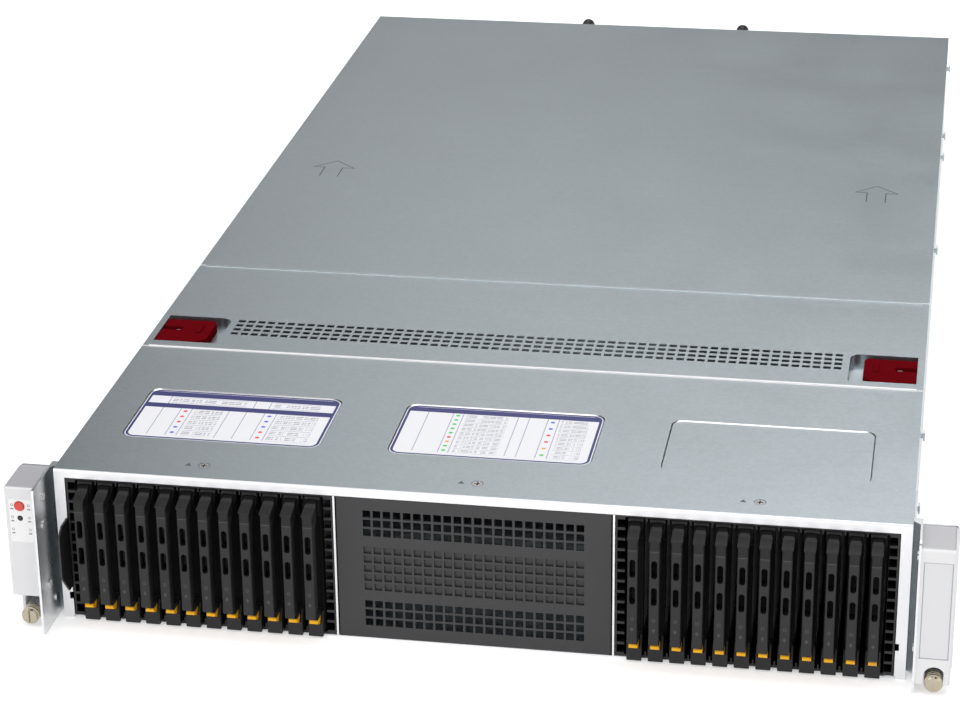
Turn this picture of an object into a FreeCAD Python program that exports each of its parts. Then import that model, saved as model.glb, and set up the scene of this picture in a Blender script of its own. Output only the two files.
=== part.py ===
import FreeCAD, Part
import os
import re
import Sketcher

# A rack server two units high: a sheet-metal chassis with three top covers, twenty-four
# upright slim drives in two cages beside a centre air grille, a fan row, a main board,
# two stacked power supplies and two rack ears. Millimetres, +Z up, +X to the right as seen
# from the front. The origin lies on the bottom of the chassis, on its centre line, in the
# plane of the ears' rear faces, which bear on the rack posts.
#
# Every sub-part is drawn from the front face of the chassis backwards (local y = 0 is that
# face), and its Placement puts that face in front of the rack plane.

SIZES = {
    # Rack and chassis
    "rack_width": 482.6,
    "screw_spacing": 465.1,
    "screw_height": 6.35,
    "chassis_width": 437.0,
    "chassis_height": 86.0,
    "chassis_depth": 820.0,
    "face_forward": 13.0,
    "wall": 1.2,
    "cover_sheet": 1.0,
    "fit": 0.3,
    "pin_fit": 0.08,
    # Front opening
    "column_width": 5.6,
    "lip_height": 4.7,
    "divider_place": 71.0,
    "divider_sheet": 1.0,
    "notch_radius": 3.0,
    "notch_place": 210.5,
    # Covers
    "seam_front": 162.6,
    "seam_rear": 288.0,
    "seam_gap": 0.4,
    "skirt_height": 8.0,
    "skirt_start": 10.0,
    "hem_width": 1.8,
    "hem_rise": 0.6,
    "hem_round": 0.5,
    "hem_inset": 3.8,
    "recess_width": 107.0,
    "recess_length": 62.5,
    "recess_depth": 0.5,
    "recess_corner": 6.0,
    "recess_pitch": 142.5,
    "recess_back": 106.5,
    "cover_screw_back": 15.0,
    "vent_columns": 60,
    "vent_rows": 4,
    "vent_pitch": 5.8,
    "vent_row_pitch": 6.0,
    "vent_width": 4.2,
    "vent_length": 3.2,
    "vent_back": 187.3,
    # Latches of the middle cover
    "latch_outer": 214.6,
    "latch_well_inner": 177.3,
    "latch_well_front": 171.5,
    "latch_well_back": 208.3,
    "latch_well_depth": 6.0,
    "latch_length": 29.0,
    "latch_front": 173.4,
    "latch_back": 203.9,
    "latch_corner": 5.0,
    "latch_round": 3.0,
    "latch_well_corner": 6.0,
    "latch_thick": 5.2,
    "latch_travel": 7.0,
    "latch_slot_back": 191.5,
    "latch_slot_radius": 2.6,
    "latch_slot_length": 9.5,
    "latch_pin_radius": 1.6,
    # Centre grille
    "grille_width": 140.4,
    "grille_sheet": 1.2,
    "grille_return": 14.0,
    "grille_columns": 22,
    "grille_pitch": 5.2,
    "grille_hole": 4.0,
    "grille_group": 25.7,
    "grille_outer_rows": 3,
    "grille_blind_rows": 5,
    # Drive cages
    "bay_count": 12,
    "bay_pitch": 10.88,
    "bay_inner": 82.47,
    "cage_depth": 131.0,
    "cage_sheet": 0.9,
    "cage_front": 0.6,
    "bezel_depth": 4.0,
    "window_count": 13,
    "window_pitch": 5.9,
    "window_height": 4.5,
    "window_width": 3.9,
    "rib_width": 0.8,
    "rib_height": 2.2,
    # Drive carriers
    "drive_thick": 7.5,
    "drive_height": 76.0,
    "drive_length": 112.75,
    "drive_edge": 6.0,
    "drive_edge_sheet": 1.6,
    "drive_edge_height": 43.0,
    "rail_sheet": 0.6,
    "sled_width": 8.6,
    "sled_bezel": 7.6,
    "sled_block": 3.0,
    "sled_block_height": 8.3,
    "sled_front": 8.0,
    "sled_bridge": 1.2,
    "cleft_back": 4.0,
    "lever_width": 5.0,
    "lever_forward": 13.25,
    "lever_thick": 6.5,
    "lever_low": 16.2,
    "lever_bend": 75.1,
    "lever_high": 78.2,
    "lever_lug": 1.8,
    "lever_pin_forward": 1.2,
    "lever_pin_height": 73.5,
    "lever_pin_radius": 0.9,
    "lever_slot_radius": 1.5,
    "lever_slot_length": 10.1,
    "lever_slot_low": 48.7,
    "lever_slot_high": 63.7,
    "cap_width": 5.8,
    "cap_back": 4.8,
    "cap_edge": 0.9,
    "catch_width": 4.4,
    "catch_nose": 7.2,
    "catch_height": 5.8,
    "catch_travel": 1.5,
    # Rack ears
    "ear_sheet": 1.2,
    "ear_web": 222.0,
    "ear_web_height": 84.0,
    "ear_flange_height": 81.5,
    "ear_strap": 45.0,
    "ear_front_left": 22.5,
    "ear_front_right": 14.2,
    "ear_corner": 3.0,
    "panel_front": 13.5,
    "panel_height": 81.0,
    "panel_low": 18.4,
    "panel_wall": 1.5,
    "panel_foot_front": 4.0,
    "panel_foot_width": 16.2,
    "button_place": 9.25,
    "power_height": 70.1,
    "power_radius": 2.4,
    "uid_height": 63.2,
    "uid_radius": 1.2,
    "button_travel": 0.8,
    "blank_low": 20.0,
    "blank_high": 73.5,
    "blank_width": 14.4,
    "thumb_radius": 4.35,
    "thumb_band": 4.8,
    "thumb_bands": 3,
    "thumb_front": 14.4,
    "thumb_face": 1.4,
    "thumb_shank": 2.5,
    "thumb_waist": 2.2,
    "thumb_free": 11.0,
    "collar_radius": 4.8,
    "collar_front": 7.5,
    "arch_radius": 5.4,
    "arch_height": 10.5,
    # Pull-out tag
    "tag_sheet": 1.0,
    "tag_place": 213.9,
    "tag_low": 18.2,
    "tag_high": 57.6,
    "tag_forward": 14.4,
    "tag_length": 62.0,
    # Inside the chassis
    "board_lift": 6.0,
    "board_sheet": 1.6,
    "board_front": 300.0,
    "fan_size": 80.0,
    "fan_pitch": 90.0,
    "fan_depth": 38.0,
    "fan_front": 214.0,
    "fan_bore": 38.0,
    "fan_hub": 15.0,
    "fan_blades": 7,
    "fan_shaft": 2.0,
    "cpu_pitch": 176.0,
    "cpu_back": 400.0,
    "sink_width": 78.0,
    "sink_length": 108.0,
    "sink_height": 62.0,
    "sink_base": 5.0,
    "sink_fins": 14,
    "sink_fin": 0.8,
    "socket_height": 7.0,
    "memory_count": 8,
    "memory_pitch": 8.4,
    "memory_length": 133.35,
    "memory_height": 31.25,
    "memory_sheet": 1.4,
    "memory_slot_height": 8.0,
    # Power supplies
    "supply_width": 73.5,
    "supply_height": 40.0,
    "supply_length": 265.0,
    "supply_place": 140.0,
    "supply_shelf": 1.0,
    "supply_handle": 20.0,
    "latch_root": 1.1,
    # Rear panel
    "port_wall": 1.0,
    "port_depth": 18.0,
    "port_plate_top": 26.0,
    # Rear knobs and rail studs
    "knob_place": 59.6,
    "knob_shift": 2.4,
    "knob_radius": 4.7,
    "knob_length": 18.0,
    "knob_neck": 3.0,
    "knob_step": 1.0,
    "knob_height": 80.4,
    "stud_height": 72.0,
    "stud_shank": 1.6,
    "stud_head": 2.9,
    "stud_reach": 2.4,
}

doc = FreeCAD.newDocument("rack_server")
sheet = doc.addObject("Spreadsheet::Sheet", "Sizes")
for row, (alias, number) in enumerate(SIZES.items(), 1):
    sheet.set(f"A{row}", alias)
    sheet.set(f"B{row}", str(number))
    sheet.setAlias(f"B{row}", alias)
doc.recompute()

NODES = []
WORD = re.compile(r"[a-z][a-z_0-9]*")
NORMALS = {"XY": "+Z", "XZ": "-Y", "YZ": "+X"}

# Places that several sub-parts share, each worked out from the sizes.
SIDE = "chassis_width / 2"
WALL_TOP = "(chassis_height - cover_sheet)"
OPENING_TOP = "(chassis_height - lip_height)"
COLUMN = "(chassis_width / 2 - column_width)"
CAGE_INNER = "(divider_place + divider_sheet + fit)"
CAGE_OUTER = "(chassis_width / 2 - column_width - 0.4)"
CAGE_LOW = "(wall + fit)"
CAGE_HIGH = "(chassis_height - lip_height - fit)"
BAY_LOW = "(wall + fit + cage_sheet + fit)"
BAY_HIGH = "(chassis_height - lip_height - fit - cage_sheet - fit)"
BAY_EDGE_INNER = "(bay_inner - bay_pitch / 2)"
BAY_EDGE_OUTER = "(bay_inner + bay_pitch * (bay_count - 0.5))"
SKIRT = "(chassis_width / 2 - wall - fit)"
SCREW = "screw_spacing / 2"
BOARD_TOP = "(board_lift + board_sheet)"
SUPPLY_LOW = "(wall + fit)"
SUPPLY_HIGH = "(wall + fit + supply_height + 2 * fit + supply_shelf)"
SUPPLY_RIGHT = "(-1 * supply_place - fit)"
SUPPLY_LEFT = "(-1 * supply_place - fit - supply_width)"
REAR = "chassis_depth"


def bind(text):
    """Expression text with each size name pointed at the sheet."""
    return WORD.sub(lambda word: "Sizes." + word.group() if word.group() in SIZES else word.group(), str(text))


def size(text):
    """The number that an expression of size names gives."""
    return float(sheet.evalExpression(str(text)))


def place(item, x="0", y="0", z="0"):
    """Ties a node's Placement: local y = 0 is the chassis front face."""
    item.setExpression("Placement.Base.x", bind(x))
    item.setExpression("Placement.Base.y", bind(f"{y} - face_forward"))
    item.setExpression("Placement.Base.z", bind(z))


def new_body(name):
    """An empty PartDesign body."""
    body = doc.addObject("PartDesign::Body", name)
    body.Label = name
    return body


def node(item, x="0", y="0", z="0"):
    """Marks a body as a sub-part of its own and places it."""
    place(item, x, y, z)
    NODES.append(item)
    return item


def group(name, pieces, x="0", y="0", z="0"):
    """A sub-part made of several separate solids."""
    item = doc.addObject("Part::Compound", name)
    item.Label = name
    item.Links = pieces
    return node(item, x, y, z)


def origin_item(body, role):
    """One of the planes or axes of a body's own origin."""
    return [item for item in body.Origin.OriginFeatures if item.Role == role][0]


class Outline:
    """A sketch on an origin plane of its body, with every size tied to the sheet."""

    def __init__(self, body, plane, lift="0"):
        self.body = body
        self.plane = plane
        self.sketch = body.newObject("Sketcher::SketchObject", f"{body.Name}_{plane}")
        self.sketch.AttachmentSupport = [(origin_item(body, f"{plane}_Plane"), "")]
        self.sketch.MapMode = "FlatFace"
        sign = "-1 * " if plane == "XZ" else ""
        self.sketch.setExpression("AttachmentOffset.Base.z", bind(f"{sign}({lift})"))

    def tie(self, kind, parts, text):
        """Adds a driving constraint whose value is an expression."""
        row = self.sketch.addConstraint(Sketcher.Constraint(kind, *parts, size(text)))
        self.sketch.setExpression(f"Constraints[{row}]", bind(text))

    def pin_point(self, index, point, across, up):
        """Ties one point of the sketch to the sketch's origin."""
        self.tie("DistanceX", (-1, 1, index, point), across)
        self.tie("DistanceY", (-1, 1, index, point), up)

    def polygon(self, *corners):
        """A closed outline through corners, each given as (across, up)."""
        first = self.sketch.GeometryCount
        points = [FreeCAD.Vector(size(across), size(up), 0) for across, up in corners]
        count = len(points)
        for index, point in enumerate(points):
            self.sketch.addGeometry(Part.LineSegment(point, points[(index + 1) % count]))
        for index in range(count):
            after = first + (index + 1) % count
            self.sketch.addConstraint(Sketcher.Constraint("Coincident", first + index, 2, after, 1))
        for index, (across, up) in enumerate(corners):
            self.pin_point(first + index, 1, across, up)
        return self

    def rectangle(self, left, right, low, high):
        """A rectangle between two sides and two levels."""
        return self.polygon((left, low), (right, low), (right, high), (left, high))

    def circle(self, across, up, radius):
        """A circle."""
        centre = FreeCAD.Vector(size(across), size(up), 0)
        index = self.sketch.addGeometry(Part.Circle(centre, FreeCAD.Vector(0, 0, 1), size(radius)))
        self.pin_point(index, 3, across, up)
        self.tie("Radius", (index,), radius)
        return self

    def slot(self, start, end, radius):
        """A round-ended slot between two centres that share an across or an up value."""
        first = FreeCAD.Vector(size(start[0]), size(start[1]), 0)
        last = FreeCAD.Vector(size(end[0]), size(end[1]), 0)
        along = (last - first).normalize()
        side = FreeCAD.Vector(-along.y, along.x, 0) * size(radius)
        cap = along * size(radius)
        parts = (
            Part.Arc(last - side, last + cap, last + side),
            Part.LineSegment(last + side, first + side),
            Part.Arc(first + side, first - cap, first - side),
            Part.LineSegment(first - side, last - side),
        )
        rows = [self.sketch.addGeometry(part) for part in parts]
        for index in range(4):
            ends = (rows[index], 2, rows[(index + 1) % 4], 1)
            self.sketch.addConstraint(Sketcher.Constraint("Tangent", *ends))
        self.pin_point(rows[0], 3, *end)
        self.pin_point(rows[2], 3, *start)
        self.tie("Radius", (rows[0],), radius)
        return self

    def pad(self, length, towards):
        """Adds material from the sketch: towards is a signed axis, or both."""
        return self.extrude("PartDesign::Pad", length, towards, NORMALS[self.plane] != towards)

    def pocket(self, length, towards):
        """Cuts material from the sketch and proves that something was cut."""
        before = self.body.Shape.Volume
        cut = self.extrude("PartDesign::Pocket", length, towards, NORMALS[self.plane] == towards)
        if not cut.Shape.Volume < before - 1e-6:
            raise ValueError(f"{cut.Name} cuts nothing")
        return cut

    def extrude(self, kind, length, towards, backwards):
        doc.recompute()
        feature = self.body.newObject(kind, f"{self.body.Name}_{kind[12:].lower()}")
        feature.Profile = self.sketch
        feature.setExpression("Length", bind(length))
        feature.Midplane = towards == "both"
        feature.Reversed = backwards and towards != "both"
        doc.recompute()
        return feature

    def revolve(self, axis):
        """Turns the sketch once round an axis of the body's origin."""
        feature = self.body.newObject("PartDesign::Revolution", f"{self.body.Name}_turned")
        feature.Profile = self.sketch
        feature.ReferenceAxis = (origin_item(self.body, axis), [""])
        feature.Angle = 360
        doc.recompute()
        return feature


def straight_edges(shape, axis, **where):
    """Names of the edges along an axis whose ends lie at the given coordinates."""
    names = []
    for index, edge in enumerate(shape.Edges, 1):
        ends = [vertex.Point for vertex in edge.Vertexes]
        if len(ends) != 2:
            continue
        run = ends[1] - ends[0]
        if abs(getattr(run, axis)) < run.Length - 1e-6:
            continue
        if all(abs(getattr(end, key) - size(text)) < 0.01 for end in ends for key, text in where.items()):
            names.append(f"Edge{index}")
    return names


def dress(body, kind, measure, places):
    """A PartDesign Fillet or Chamfer on the straight edges at some places."""
    names = []
    for axis, where in places:
        names += straight_edges(body.Tip.Shape, axis, **where)
    feature = body.newObject(f"PartDesign::{kind}", f"{body.Name}_{kind.lower()}")
    feature.Base = (feature.BaseFeature or body.Tip, names)
    feature.setExpression("Radius" if kind == "Fillet" else "Size", bind(measure))
    doc.recompute()
    return feature


def pattern(body, axis, pitch, count):
    """A LinearPattern feature along an axis of the body's origin."""
    step = doc.addObject("PartDesign::LinearPattern", f"{body.Name}_row")
    step.Direction = (origin_item(body, f"{axis}_Axis"), [""])
    step.setExpression("Length", bind(f"({pitch}) * ({count} - 1)"))
    step.setExpression("Occurrences", bind(count))
    return step


def repeat(body, features, axis, pitch, count):
    """Repeats features in a row."""
    step = pattern(body, axis, pitch, count)
    body.addObject(step)
    step.Originals = features
    body.Tip = step
    doc.recompute()
    return step


# ---------------------------------------------------------------- chassis


def chassis_tray():
    """Floor, side walls, front columns, bay dividers, rear wall, standoffs and rail studs."""
    body = new_body("chassis_tray")
    outer = f"{SIDE}"
    inner = f"({SIDE} - wall)"
    section = Outline(body, "XZ")
    section.polygon(
        (f"-1 * {outer}", "0"), (outer, "0"), (outer, WALL_TOP), (inner, WALL_TOP),
        (inner, "wall"), (f"-1 * {inner}", "wall"), (f"-1 * {inner}", WALL_TOP), (f"-1 * {outer}", WALL_TOP),
    )
    section.pad("chassis_depth", "+Y")
    columns = Outline(body, "XZ")
    for sign in ("-1", "1"):
        ends = sorted((f"{sign} * {COLUMN}", f"{sign} * {inner}"), key=size)
        columns.rectangle(*ends, "wall", OPENING_TOP)
    columns.pad("wall", "+Y")
    dividers = Outline(body, "XZ")
    for sign in ("-1", "1"):
        ends = sorted((f"{sign} * divider_place", f"{sign} * (divider_place + divider_sheet)"), key=size)
        dividers.rectangle(*ends, "wall", f"{OPENING_TOP} - fit")
    dividers.pad("cage_depth", "+Y")
    rear_wall(body, inner)
    supply_bay(body, inner)
    standoffs(body)
    rail_studs(body)
    front_notches(body)
    return node(body)


def rear_wall(body, inner):
    """Rear sheet with the power supply bay and the window of the port panel."""
    rear = Outline(body, "XZ", f"{REAR} - wall")
    rear.rectangle(f"-1 * {inner}", inner, "wall", WALL_TOP)
    rear.pad("wall", "+Y")
    windows = Outline(body, "XZ", f"{REAR} - wall")
    windows.rectangle(f"{SUPPLY_LEFT} - fit", "-1 * supply_place", "wall", f"{SUPPLY_HIGH} + supply_height + fit")
    windows.rectangle("-1 * supply_place + 12", f"{inner} - 8", "wall + 5", f"{WALL_TOP} - 6")
    windows.pocket("wall", "+Y")


def supply_bay(body, inner):
    """Upright wall and shelf that part the two power supplies from each other and the board."""
    front = f"{REAR} - supply_length - 2"
    parts = Outline(body, "XZ", front)
    parts.rectangle("-1 * supply_place", "-1 * supply_place + supply_shelf", "wall", f"{WALL_TOP} - 2")
    parts.rectangle(f"-1 * {inner}", "-1 * supply_place", f"{SUPPLY_HIGH} - fit - supply_shelf", f"{SUPPLY_HIGH} - fit")
    parts.pad("supply_length + 2", "+Y")


def standoffs(body):
    """Round posts that carry the main board, in two columns and three rows."""
    posts = Outline(body, "XY", "wall")
    for across in ("-100", "0", "190"):
        for back in ("board_front + 12", "board_front + 230", "chassis_depth - 30"):
            posts.circle(across, back, "3")
    posts.pad("board_lift - wall", "+Z")


def rail_studs(body):
    """Headed studs on both walls, where the slide rails' inner members hook on."""
    for sign, towards in (("-1", "-X"), ("1", "+X")):
        shanks = Outline(body, "YZ", f"{sign} * {SIDE}")
        heads = Outline(body, "YZ", f"{sign} * ({SIDE} + stud_reach - 1)")
        for back in ("48", "136", "412", "589", "634", "789"):
            shanks.circle(back, "stud_height", "stud_shank")
            heads.circle(back, "stud_height", "stud_head")
        shanks.pad("stud_reach - 1", towards)
        heads.pad("1", towards)


def front_notches(body):
    """Half-round notches in the floor's front edge and small slots in the columns."""
    notches = Outline(body, "XY", "0")
    for sign in ("-1", "1"):
        notches.circle(f"{sign} * notch_place", "0", "notch_radius")
    notches.pocket("wall", "+Z")
    slots = Outline(body, "XZ")
    slots.rectangle(f"-1 * {COLUMN} - 1.8", f"-1 * {COLUMN}", "11", "15")
    slots.rectangle(f"{COLUMN}", f"{COLUMN} + 1.8", "16", "20")
    slots.rectangle("-1 * (tag_place + fit)", f"-1 * {COLUMN}", "tag_low - fit", "tag_high + fit")
    slots.pocket("wall", "+Y")
    reliefs = Outline(body, "XZ")
    for sign in ("-1", "1"):
        ends = sorted((f"{sign} * ({SIDE} - wall)", f"{sign} * {SIDE}"), key=size)
        reliefs.rectangle(*ends, OPENING_TOP, WALL_TOP)
    reliefs.pocket("cover_sheet + fit", "+Y")


# ---------------------------------------------------------------- covers


def cover_sheet_and_skirts(body, front, back, skirt_front, skirt_back):
    """Flat top of a cover and the two skirts that drop inside the chassis walls."""
    top = Outline(body, "XY", WALL_TOP)
    top.rectangle(f"-1 * {SIDE}", SIDE, front, back)
    top.pad("cover_sheet", "+Z")
    skirts = Outline(body, "XY", WALL_TOP)
    skirts.rectangle(f"-1 * {SKIRT}", f"-1 * {SKIRT} + cover_sheet", skirt_front, skirt_back)
    skirts.rectangle(f"{SKIRT} - cover_sheet", SKIRT, skirt_front, skirt_back)
    skirts.pad("skirt_height", "-Z")


def front_cover():
    """Screwed front cover: folded front lip, three label recesses, three screw dimples."""
    body = new_body("front_cover")
    back = "seam_front - seam_gap / 2"
    cover_sheet_and_skirts(body, "0", back, "skirt_start", f"{back} - 2")
    lip = Outline(body, "XZ")
    lip.rectangle(f"-1 * {SIDE}", SIDE, OPENING_TOP, WALL_TOP)
    lip.pad("cover_sheet", "+Y")
    dress(body, "Fillet", "cover_sheet * 1.3", [("x", {"y": "0", "z": "chassis_height"})])
    recesses = Outline(body, "XY", "chassis_height")
    for step in ("-1", "0", "1"):
        middle = f"{step} * recess_pitch"
        recesses.rectangle(
            f"{middle} - recess_width / 2", f"{middle} + recess_width / 2", "recess_back - recess_length", "recess_back"
        )
    recesses.pocket("recess_depth", "-Z")
    corners = []
    for step in ("-1", "0", "1"):
        for half in ("-1", "1"):
            across = f"{step} * recess_pitch + {half} * recess_width / 2"
            corners.append(("z", {"x": across, "y": "recess_back"}))
            corners.append(("z", {"x": across, "y": "recess_back - recess_length"}))
    dress(body, "Fillet", "recess_corner", corners)
    dimples = Outline(body, "XY", "chassis_height")
    holes = Outline(body, "XY", "chassis_height")
    for step in ("-1", "0", "1"):
        dimples.circle(f"{step} * recess_pitch", "cover_screw_back", "3.2")
        holes.circle(f"{step} * recess_pitch", "cover_screw_back", "1.7")
    dimples.pocket("cover_sheet / 2", "-Z")
    holes.pocket("cover_sheet", "-Z")
    return node(body)


def middle_cover():
    """Lift-off cover over the fans: two bright hems, a vent field and two latch wells."""
    body = new_body("middle_cover")
    front = "seam_front + seam_gap / 2"
    back = "seam_rear - seam_gap / 2"
    cover_sheet_and_skirts(body, front, back, f"{front} + 1", f"{back} - 1")
    hems = Outline(body, "XY", "chassis_height")
    for edge in (front, f"{back} - hem_width"):
        hems.rectangle(f"-1 * {SIDE} + hem_inset", f"{SIDE} - hem_inset", edge, f"{edge} + hem_width")
    hems.pad("hem_rise", "+Z")
    crests = [front, f"{front} + hem_width", f"{back} - hem_width", back]
    dress(body, "Fillet", "hem_round", [("x", {"y": edge, "z": "chassis_height + hem_rise"}) for edge in crests])
    low = f"{WALL_TOP} - latch_well_depth"
    wells = Outline(body, "XY", low)
    rims = Outline(body, "XY", f"{low} + cover_sheet")
    for sign in ("-1", "1"):
        ends = sorted((f"{sign} * (latch_well_inner - cover_sheet)", f"{sign} * {SKIRT}"), key=size)
        wells.rectangle(*ends, "latch_well_front - cover_sheet", "latch_well_back + cover_sheet")
        ends = sorted((f"{sign} * latch_well_inner", f"{sign} * latch_outer"), key=size)
        rims.rectangle(*ends, "latch_well_front", "latch_well_back")
    wells.pad("latch_well_depth", "+Z")
    rims.pocket("latch_well_depth + cover_sheet", "+Z")
    dress(body, "Fillet", "latch_well_corner", [
        ("z", {"x": f"{sign} * latch_well_inner", "y": "latch_well_back"}) for sign in ("-1", "1")
    ])
    pins = Outline(body, "XY", f"{low} + cover_sheet")
    for sign in ("-1", "1"):
        pins.circle(f"{sign} * (latch_outer - latch_slot_length)", "latch_slot_back", "latch_pin_radius")
    pins.pad("latch_thick - 1", "+Z")
    vent = Outline(body, "XY", "chassis_height")
    start = "-0.5 * vent_pitch * (vent_columns - 1)"
    for row in range(int(SIZES["vent_rows"])):
        middle = f"(vent_back + {row} * vent_row_pitch)"
        vent.rectangle(
            f"{start} - vent_width / 2", f"{start} + vent_width / 2",
            f"{middle} - vent_length / 2", f"{middle} + vent_length / 2",
        )
    first = vent.pocket("cover_sheet", "-Z")
    repeat(body, [first], "X", "vent_pitch", "vent_columns")
    return node(body)


def rear_cover():
    """Cover over the main board: slides back to free it; its rear lip carries two knobs."""
    body = new_body("rear_cover")
    front = "seam_rear + seam_gap / 2"
    cover_sheet_and_skirts(body, front, REAR, f"{front} + 1", f"{REAR} - wall - 20")
    lip = Outline(body, "XZ", f"{REAR} + fit")
    clear = f"{SUPPLY_HIGH} + supply_height + fit"
    lip.polygon(
        (f"-1 * {SIDE}", clear), ("-1 * supply_place + 8", clear), ("-1 * supply_place + 8", "chassis_height - 11"),
        (SIDE, "chassis_height - 11"), (SIDE, "chassis_height"), (f"-1 * {SIDE}", "chassis_height"),
    )
    lip.pad("cover_sheet", "+Y")
    bridge = Outline(body, "XY", WALL_TOP)
    bridge.rectangle(f"-1 * {SIDE}", SIDE, REAR, f"{REAR} + fit")
    bridge.pad("cover_sheet", "+Z")
    return node(body)


def cover_latch(name, sign):
    """Sliding latch: a thick plate with cut corners, a slot over the fixed pin and a bolt."""
    body = new_body(name)
    level = f"({WALL_TOP} - latch_well_depth + cover_sheet + fit)"
    outer = "latch_outer - fit"
    inner = "latch_outer - fit - latch_length"
    plate = Outline(body, "XY", level)
    plate.polygon(
        (f"{sign} * ({outer})", "latch_front"), (f"{sign} * ({inner} + latch_corner)", "latch_front"),
        (f"{sign} * ({inner})", "latch_front + latch_corner"), (f"{sign} * ({inner})", "latch_back"),
        (f"{sign} * ({outer})", "latch_back"),
    )
    plate.pad("latch_thick", "+Z")
    dress(body, "Fillet", "latch_round", [
        ("z", {"x": f"{sign} * ({inner})", "y": "latch_back"}),
        ("z", {"x": f"{sign} * ({inner} + latch_corner)", "y": "latch_front"}),
        ("z", {"x": f"{sign} * ({inner})", "y": "latch_front + latch_corner"}),
    ])
    slot = Outline(body, "XY", level)
    slot.slot(
        (f"{sign} * (latch_outer + 4)", "latch_slot_back"),
        (f"{sign} * (latch_outer - latch_slot_length - fit)", "latch_slot_back"), "latch_slot_radius",
    )
    slot.pocket("latch_thick", "+Z")
    grip = Outline(body, "XY", f"{level} + latch_thick")
    grip.slot(
        (f"{sign} * ({inner} + 7)", "latch_slot_back - 5"), (f"{sign} * ({inner} + 7)", "latch_slot_back + 5"), "1.2"
    )
    grip.pad("0.8", "+Z")
    return node(body)


# ---------------------------------------------------------------- front bays


def centre_grille():
    """Pierced front plate with side returns; its middle rows are backed by a second sheet."""
    body = new_body("centre_grille")
    half = "grille_width / 2"
    low = "wall + fit"
    high = f"({OPENING_TOP} - fit)"
    plate = Outline(body, "XZ")
    plate.rectangle(f"-1 * {half}", half, low, high)
    plate.pad("grille_sheet", "+Y")
    sides = Outline(body, "XZ", "grille_sheet")
    sides.rectangle(f"-1 * {half}", f"-1 * {half} + grille_sheet", low, high)
    sides.rectangle(f"{half} - grille_sheet", half, low, high)
    sides.pad("grille_return", "+Y")
    middle = f"({low} + {high}) / 2"
    column = Outline(body, "XZ")
    across = "-0.5 * grille_pitch * (grille_columns - 1)"
    reach = "grille_hole / 2"
    for step, rows in (("-1", "grille_outer_rows"), ("0", "grille_blind_rows"), ("1", "grille_outer_rows")):
        for row in range(int(SIZES[rows])):
            up = f"{middle} + {step} * grille_group + grille_pitch * ({row} - 0.5 * ({rows} - 1))"
            column.rectangle(f"{across} - {reach}", f"{across} + {reach}", f"{up} - {reach}", f"{up} + {reach}")
    first = column.pocket("grille_sheet", "+Y")
    repeat(body, [first], "X", "grille_pitch", "grille_columns")
    backing = Outline(body, "XZ", "grille_sheet")
    backing.rectangle(
        f"-1 * {half} + grille_sheet", f"{half} - grille_sheet",
        f"{middle} - grille_pitch * grille_blind_rows / 2", f"{middle} + grille_pitch * grille_blind_rows / 2",
    )
    backing.pad("grille_sheet", "+Y")
    return node(body)


def drive_cage(name, sign):
    """Cage of twelve bays: thin shell, guide ribs above and below, pierced front strips."""
    body = new_body(name)
    inner, outer = sorted((f"{sign} * {CAGE_INNER}", f"{sign} * {CAGE_OUTER}"), key=size)
    first, last = sorted((f"{sign} * {BAY_EDGE_INNER}", f"{sign} * {BAY_EDGE_OUTER}"), key=size)
    shell = Outline(body, "XZ", "cage_front")
    shell.rectangle(inner, outer, CAGE_LOW, CAGE_HIGH)
    shell.rectangle(f"{inner} + cage_sheet", f"{outer} - cage_sheet", f"{CAGE_LOW} + cage_sheet", f"{CAGE_HIGH} - cage_sheet")
    shell.pad("cage_depth - cage_front", "+Y")
    strips = Outline(body, "XZ", "cage_front")
    strips.rectangle(f"{inner} + cage_sheet", first, f"{CAGE_LOW} + cage_sheet", f"{CAGE_HIGH} - cage_sheet")
    strips.rectangle(last, f"{outer} - cage_sheet", f"{CAGE_LOW} + cage_sheet", f"{CAGE_HIGH} - cage_sheet")
    strips.pad("bezel_depth", "+Y")
    windows = Outline(body, "XZ", "cage_front")
    start = "chassis_height / 2 - 2 - window_pitch * (window_count - 1) / 2"
    for middle in (f"({inner} + cage_sheet + {first}) / 2", f"({last} + {outer} - cage_sheet) / 2"):
        windows.rectangle(
            f"{middle} - window_width / 2", f"{middle} + window_width / 2",
            f"{start} - window_height / 2", f"{start} + window_height / 2",
        )
    opened = windows.pocket("bezel_depth", "+Y")
    repeat(body, [opened], "Z", "window_pitch", "window_count")
    ribs = Outline(body, "XZ", "cage_front")
    edge = f"{first} + bay_pitch"
    for low in (f"{CAGE_LOW} + cage_sheet", f"{CAGE_HIGH} - cage_sheet - rib_height"):
        ribs.rectangle(f"{edge} - rib_width / 2", f"{edge} + rib_width / 2", low, f"{low} + rib_height")
    guide = ribs.pad("cage_depth - cage_front - 8", "+Y")
    repeat(body, [guide], "X", "bay_pitch", "(bay_count - 1)")
    return body


def tag_guides(body):
    """Two shelves outside the left cage, between which the pull-out tag slides."""
    shelves = Outline(body, "XZ", "wall + 2")
    for low in ("tag_low - fit - 1", "tag_high + fit"):
        shelves.rectangle(f"-1 * {SIDE} + wall + fit", f"-1 * {CAGE_OUTER}", low, f"{low} + 1")
    shelves.pad("tag_length", "+Y")


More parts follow.
